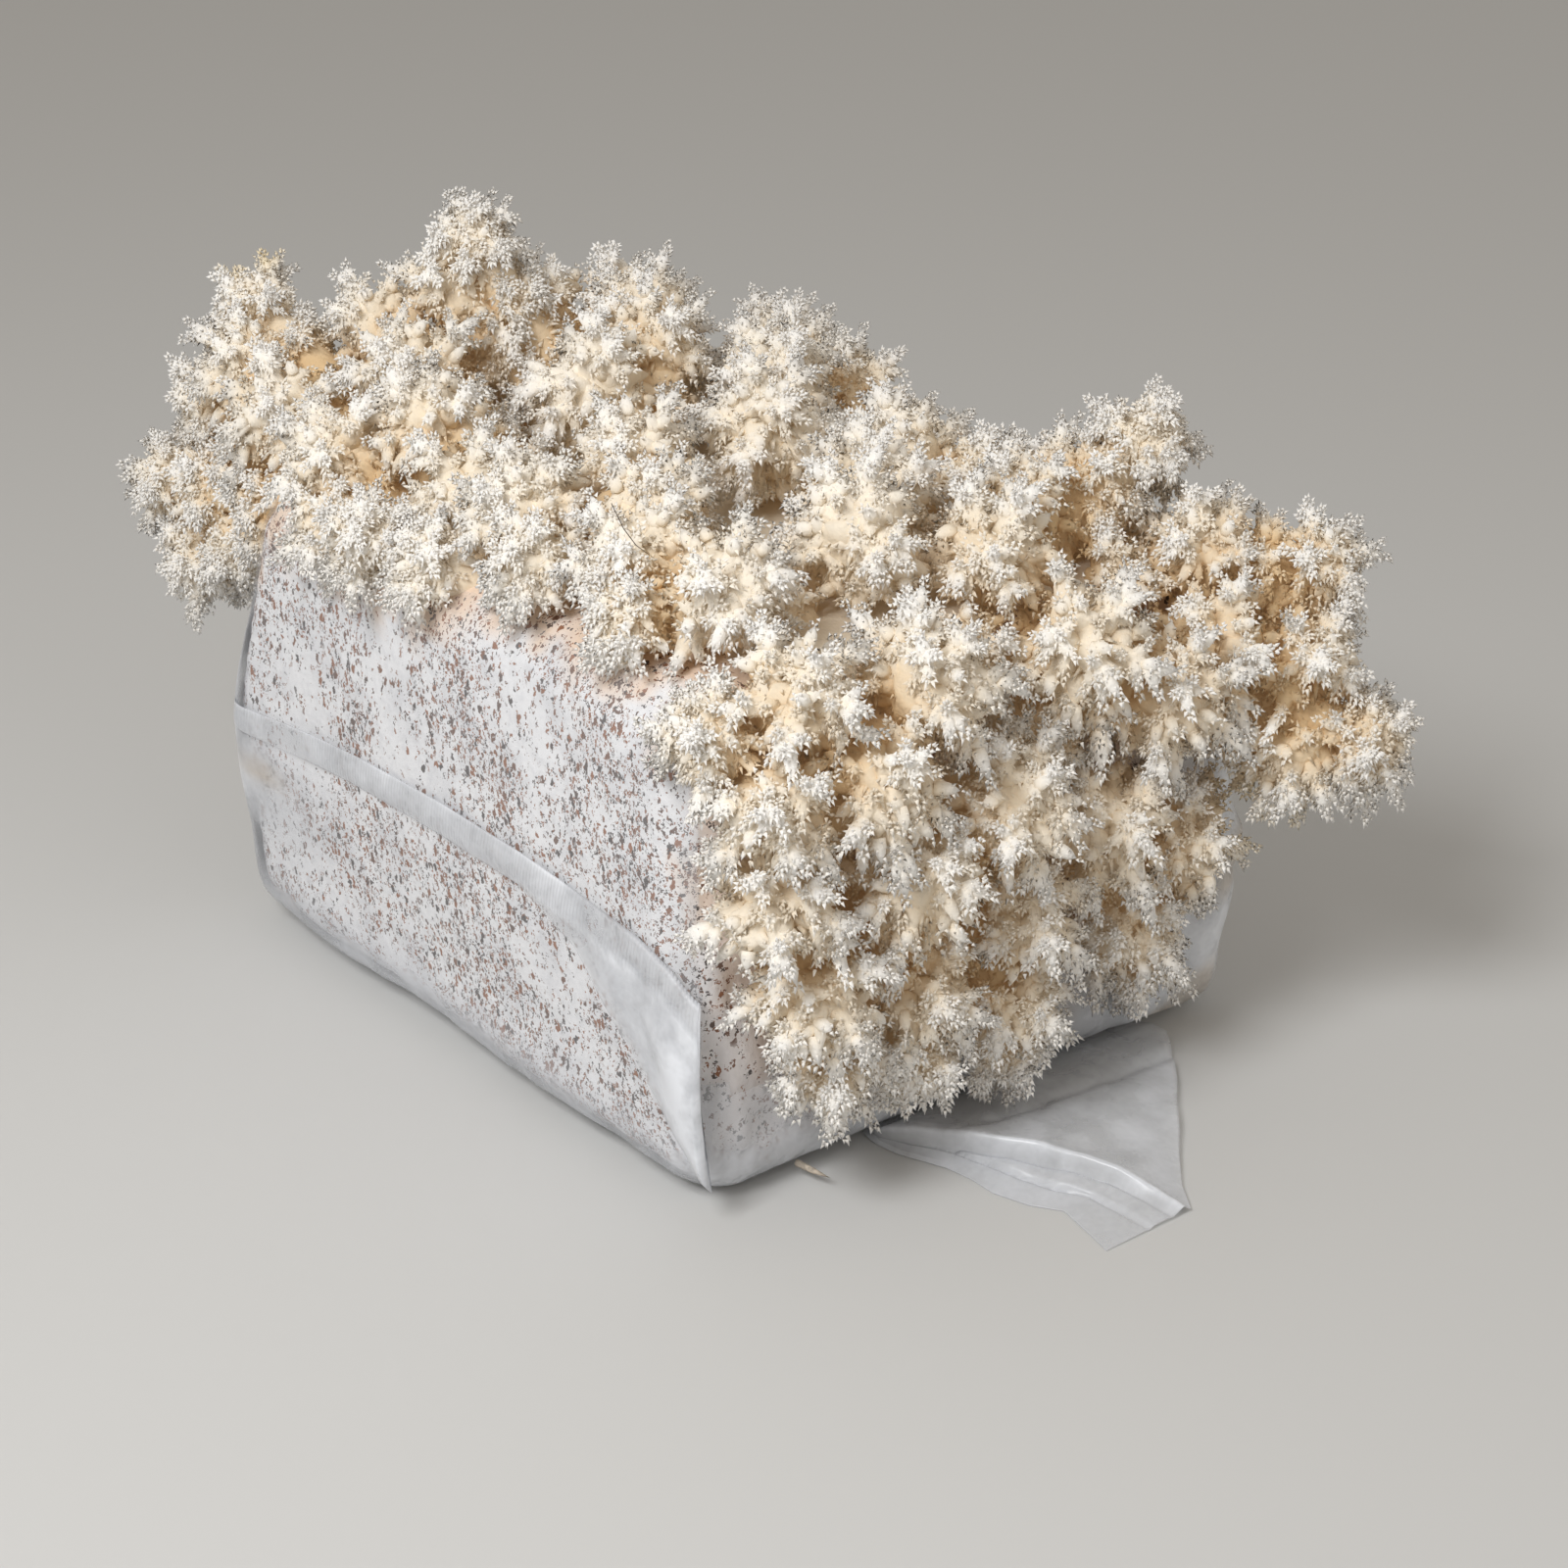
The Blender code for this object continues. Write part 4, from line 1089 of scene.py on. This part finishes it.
def fringe(balls_of_tissue, random):
    """Soft drooping spines all over each ball of tissue, the growth that never reached
    the outside."""
    directions, own = all_round(balls_of_tissue, FRINGE_AROUND, random)
    start = balls_of_tissue[own, :3] + directions * (balls_of_tissue[own, 3:] * 0.92)
    aim = unit(directions + random.normal(0.0, 0.28, directions.shape))
    length = FRINGE_LENGTH * random.uniform(0.5, 1.3, len(own))
    paths = curved(start, aim, length, 0.3 + droop_at(aim), 2)
    paths = paths[~buried(paths[:, -1], None, CORE_SHARE)]
    thick = FRINGE_RADIUS * random.uniform(0.7, 1.3, (len(paths), 1))
    points, faces, along = tubes(paths, thick, 3)
    return points, faces, 0.05 + along * 0.25


def clump_stalks(heads, first, tier, random):
    """A stalk for each clump of a tier, out from the core of its head, where the growth is
    open to the air.  Returns their paths and each one's head."""
    directions, own = all_round(heads, tier["clumps"], random)
    directions = unit(directions + random.normal(0.0, 0.18, directions.shape))
    ends = heads[own, :3] + directions * (heads[own, 3:] * tier["to"])
    open_air = ~buried(ends, first + own, tier["clearance"])
    directions, own = directions[open_air], own[open_air]
    start = heads[own, :3] + directions * (heads[own, 3:] * tier["from"])
    length = heads[own, 3] * (tier["to"] - tier["from"]) * random.uniform(*LENGTH_SPREAD, len(own))
    return curved(start, directions, length, 0.5 * droop_at(directions), 5), own


def clump_fingers(stalks, own, heads, first, tier, random):
    """Fingers fanned out along each stalk, wide at its foot and close at its end.  Returns
    their paths and each one's head."""
    start, aim = on_spiral(stalks, tier["fingers"], 0.15, 0.05, FINGER_LEAN, random)
    owner = np.repeat(own, tier["fingers"])
    scale = np.sqrt(heads[owner, 3] / HEAD_SIZE)
    length = tier["finger_length"] * scale * random.uniform(*LENGTH_SPREAD, len(owner))
    fingers = curved(start, aim, length, 0.4 * droop_at(aim), 4)
    open_air = ~buried(fingers[:, -1], first + owner, tier["finger_clearance"])
    return fingers[open_air], owner[open_air]


def finger_spines(fingers, owner, first, tier, random):
    """Fine spines on a spiral along each finger, leaning towards its end."""
    start, aim = on_spiral(fingers, tier["spines"], 0.10, 0.02, SPINE_LEAN, random)
    start += aim * (tier["finger_radius"] * 0.8)
    length = tier["spine_length"] * random.uniform(0.65, 1.25, len(start))
    spines = curved(start, aim, length, 0.15 + 0.3 * droop_at(aim), 2)
    return spines[~buried(spines[:, -1], first + np.repeat(owner, tier["spines"]), tier["finger_clearance"])]


def tier_parts(heads, first, tier, random):
    """The stalks, fingers and spines of one tier, each whiter towards its end."""
    scale = np.sqrt(heads[:, 3:] / HEAD_SIZE)
    stalks, own = clump_stalks(heads, first, tier, random)
    fingers, owner = clump_fingers(stalks, own, heads, first, tier, random)
    spines = finger_spines(fingers, owner, first, tier, random)
    parts = []
    for paths, thick, sides, low, high in (
            (stalks, tier["stalk_radius"] * scale[own] * np.array([1.5, 1.2, 1.0, 0.75]), 7, 0.1, 0.5),
            (fingers, tier["finger_radius"] * scale[owner] * np.array([1.0, 1.0, 0.75]), 6, 0.25, 0.8),
            (spines, tier["spine_radius"] * random.uniform(0.8, 1.15, (len(spines), 1)), 3, 0.45, 1.0)):
        points, faces, along = tubes(paths, thick, sides)
        parts.append((points, faces, low + (high - low) * along))
    return parts


# The shares of a head's radius between which its tissue turns white
WHITE_FROM = 0.64
WHITE_TO = 1.02
SOFTNESS = 0.75


def grow_limb(name, number):
    """One limb: stems, balls of tissue in its heads, their fringe, two tiers of clumps set
    with fine spines, of which the root has the inner, and last the stems' fringe.  Returns
    points, faces, how white each point is, the way outwards there, and how far normals turn
    that way."""
    random = np.random.default_rng(100 + number)
    heads = LIMB_HEADS[number]
    first = sum(len(others) for others in LIMB_HEADS[:number])
    root = np.array(LIMBS[name][0])
    tissue = heads * np.array([1.0, 1.0, 1.0, CORE_SHARE])
    parts = [stems(root, heads[:-1]), cores(tissue, 300 + number), fringe(tissue, random)]
    parts += tier_parts(heads, first, INNER, random)
    parts += tier_parts(heads[:-1], first, OUTER, random)
    parts.append(fringe(stem_middles(root, heads[:-1]), random))
    points, faces, along = joined(parts)
    gaps = np.linalg.norm(points[:, None] - heads[None, :, :3], axis=-1) / heads[:, 3]
    outward = unit(points - heads[gaps.argmin(1), :3])
    whiteness = along * (0.15 + 0.85 * smooth_step(gaps.min(1), WHITE_FROM, WHITE_TO))
    return points, faces, whiteness, outward, along * SOFTNESS


HAIR_POINTS = np.array([
    (0.0530, -0.0710, 0.1585), (0.0610, -0.0735, 0.1555), (0.0655, -0.0735, 0.1530),
    (0.0710, -0.0710, 0.1500)])
HAIR_RADIUS = 0.00012
SPLINTER_POINTS = np.array([
    (0.0990, -0.0550, 0.0042), (0.1040, -0.0540, 0.0040), (0.1085, -0.0525, 0.0036)])
SPLINTER_RADIUS = 0.0009


def make_strays(hair_material, wood_material):
    points, faces, _ = tubes(HAIR_POINTS[None], np.full((1, 3), HAIR_RADIUS), 6)
    make_piece("stray_hair", points, faces, hair_material, ["front_right_top"])
    points, faces, _ = tubes(SPLINTER_POINTS[None], SPLINTER_RADIUS * np.array([[1.0, 0.8]]), 6)
    make_piece("stray_splinter", points, faces, wood_material, ["substrate_block"])


def plain_material(name, colour, roughness):
    """One colour with a faint grain, for the two stray bits."""
    material, tree, shader = new_material(name)
    grain = patches(tree, place_on_object(tree), 900.0, 0.40, 0.60)
    grained = mix_colours(tree, grain, colour, scaled(colour, 0.6))
    feed(tree, shader, {"Base Color": grained, "Roughness": roughness})
    return material


def make_mushroom(material):
    """One piece for each limb."""
    for number, name in enumerate(LIMBS):
        points, faces, whiteness, outward, softness = grow_limb(name, number)
        values = {"depth": depth_in_growth(points), "spine": whiteness, "yellow": yellowing(points)}
        piece = make_piece("growth_" + name, points, faces, material, [name], values)
        soften_normals(piece.data, outward, softness)


# Stage

CAMERA_PLACE = (0.6095, -0.4633, 0.4112)
CAMERA_TARGET = (-0.0723, 0.0770, 0.0)
CAMERA_LENS = 75.0
CAMERA_SENSOR = 36.0
FLOOR_SIZE = 12.0
FLOOR_COLOUR = (0.62, 0.62, 0.61, 1.0)
SURROUND_COLOUR = (0.85, 0.80, 0.735, 1.0)
SURROUND_STRENGTH = 0.51
# Each soft box: its name, place, size, power and colour
LAMPS = [
    ("key", (0.36, -0.76, 0.86), 0.36, 8.2, (0.985, 0.99, 1.0)),
    ("fill", (1.2, 0.1, 0.9), 0.9, 0.8, (1.0, 1.0, 1.0)),
]
LAMP_TARGET = (0.0, 0.0, 0.08)


def aimed(made, place, target):
    """Stand a lamp or camera at a place, looking at a target."""
    made.location = place
    made.rotation_euler = (Vector(target) - Vector(place)).to_track_quat("-Z", "Y").to_euler()
    return show(made)


def make_camera():
    """The photograph's viewing angle."""
    lens = bpy.data.cameras.new("camera")
    lens.lens = CAMERA_LENS
    lens.sensor_width = CAMERA_SENSOR
    lens.clip_start = 0.01
    bpy.context.scene.camera = aimed(bpy.data.objects.new("camera", lens), CAMERA_PLACE, CAMERA_TARGET)


def make_lamp(name, place, size, power, colour):
    """A square soft box."""
    lamp = bpy.data.lights.new(name, "AREA")
    lamp.size = size
    lamp.energy = power
    lamp.color = colour
    aimed(bpy.data.objects.new(name, lamp), place, LAMP_TARGET)


def make_stage():
    """Plain pale floor, a soft key light from the left, a weak fill and a pale surround."""
    material, tree, shader = new_material("floor")
    feed(tree, shader, {"Base Color": FLOOR_COLOUR, "Roughness": 0.9})
    mesh = bpy.data.meshes.new("floor")
    half = FLOOR_SIZE / 2.0
    corners = [(-half, -half, 0.0), (half, -half, 0.0), (half, half, 0.0), (-half, half, 0.0)]
    mesh.from_pydata(corners, [], [(0, 1, 2, 3)])
    mesh.materials.append(material)
    show(bpy.data.objects.new("floor", mesh))
    for lamp in LAMPS:
        make_lamp(*lamp)
    world = bpy.data.worlds.new("surround")
    world.use_nodes = True
    tree = world.node_tree
    feed(tree, tree.nodes["Background"], {"Color": SURROUND_COLOUR, "Strength": SURROUND_STRENGTH})
    bpy.context.scene.world = world
    bpy.context.scene.view_settings.view_transform = "Standard"


make_camera()
make_block(block_material())
make_film(film_material("clear_film", 0.06))
make_seam(film_material("sealed_film", 0.06))
make_tail(film_material("loose_film", 0.10))
make_mushroom(mushroom_material())
make_strays(plain_material("hair", (0.10, 0.07, 0.05, 1.0), 0.5),
            plain_material("splinter_wood", (0.60, 0.52, 0.42, 1.0), 0.7))
make_stage()
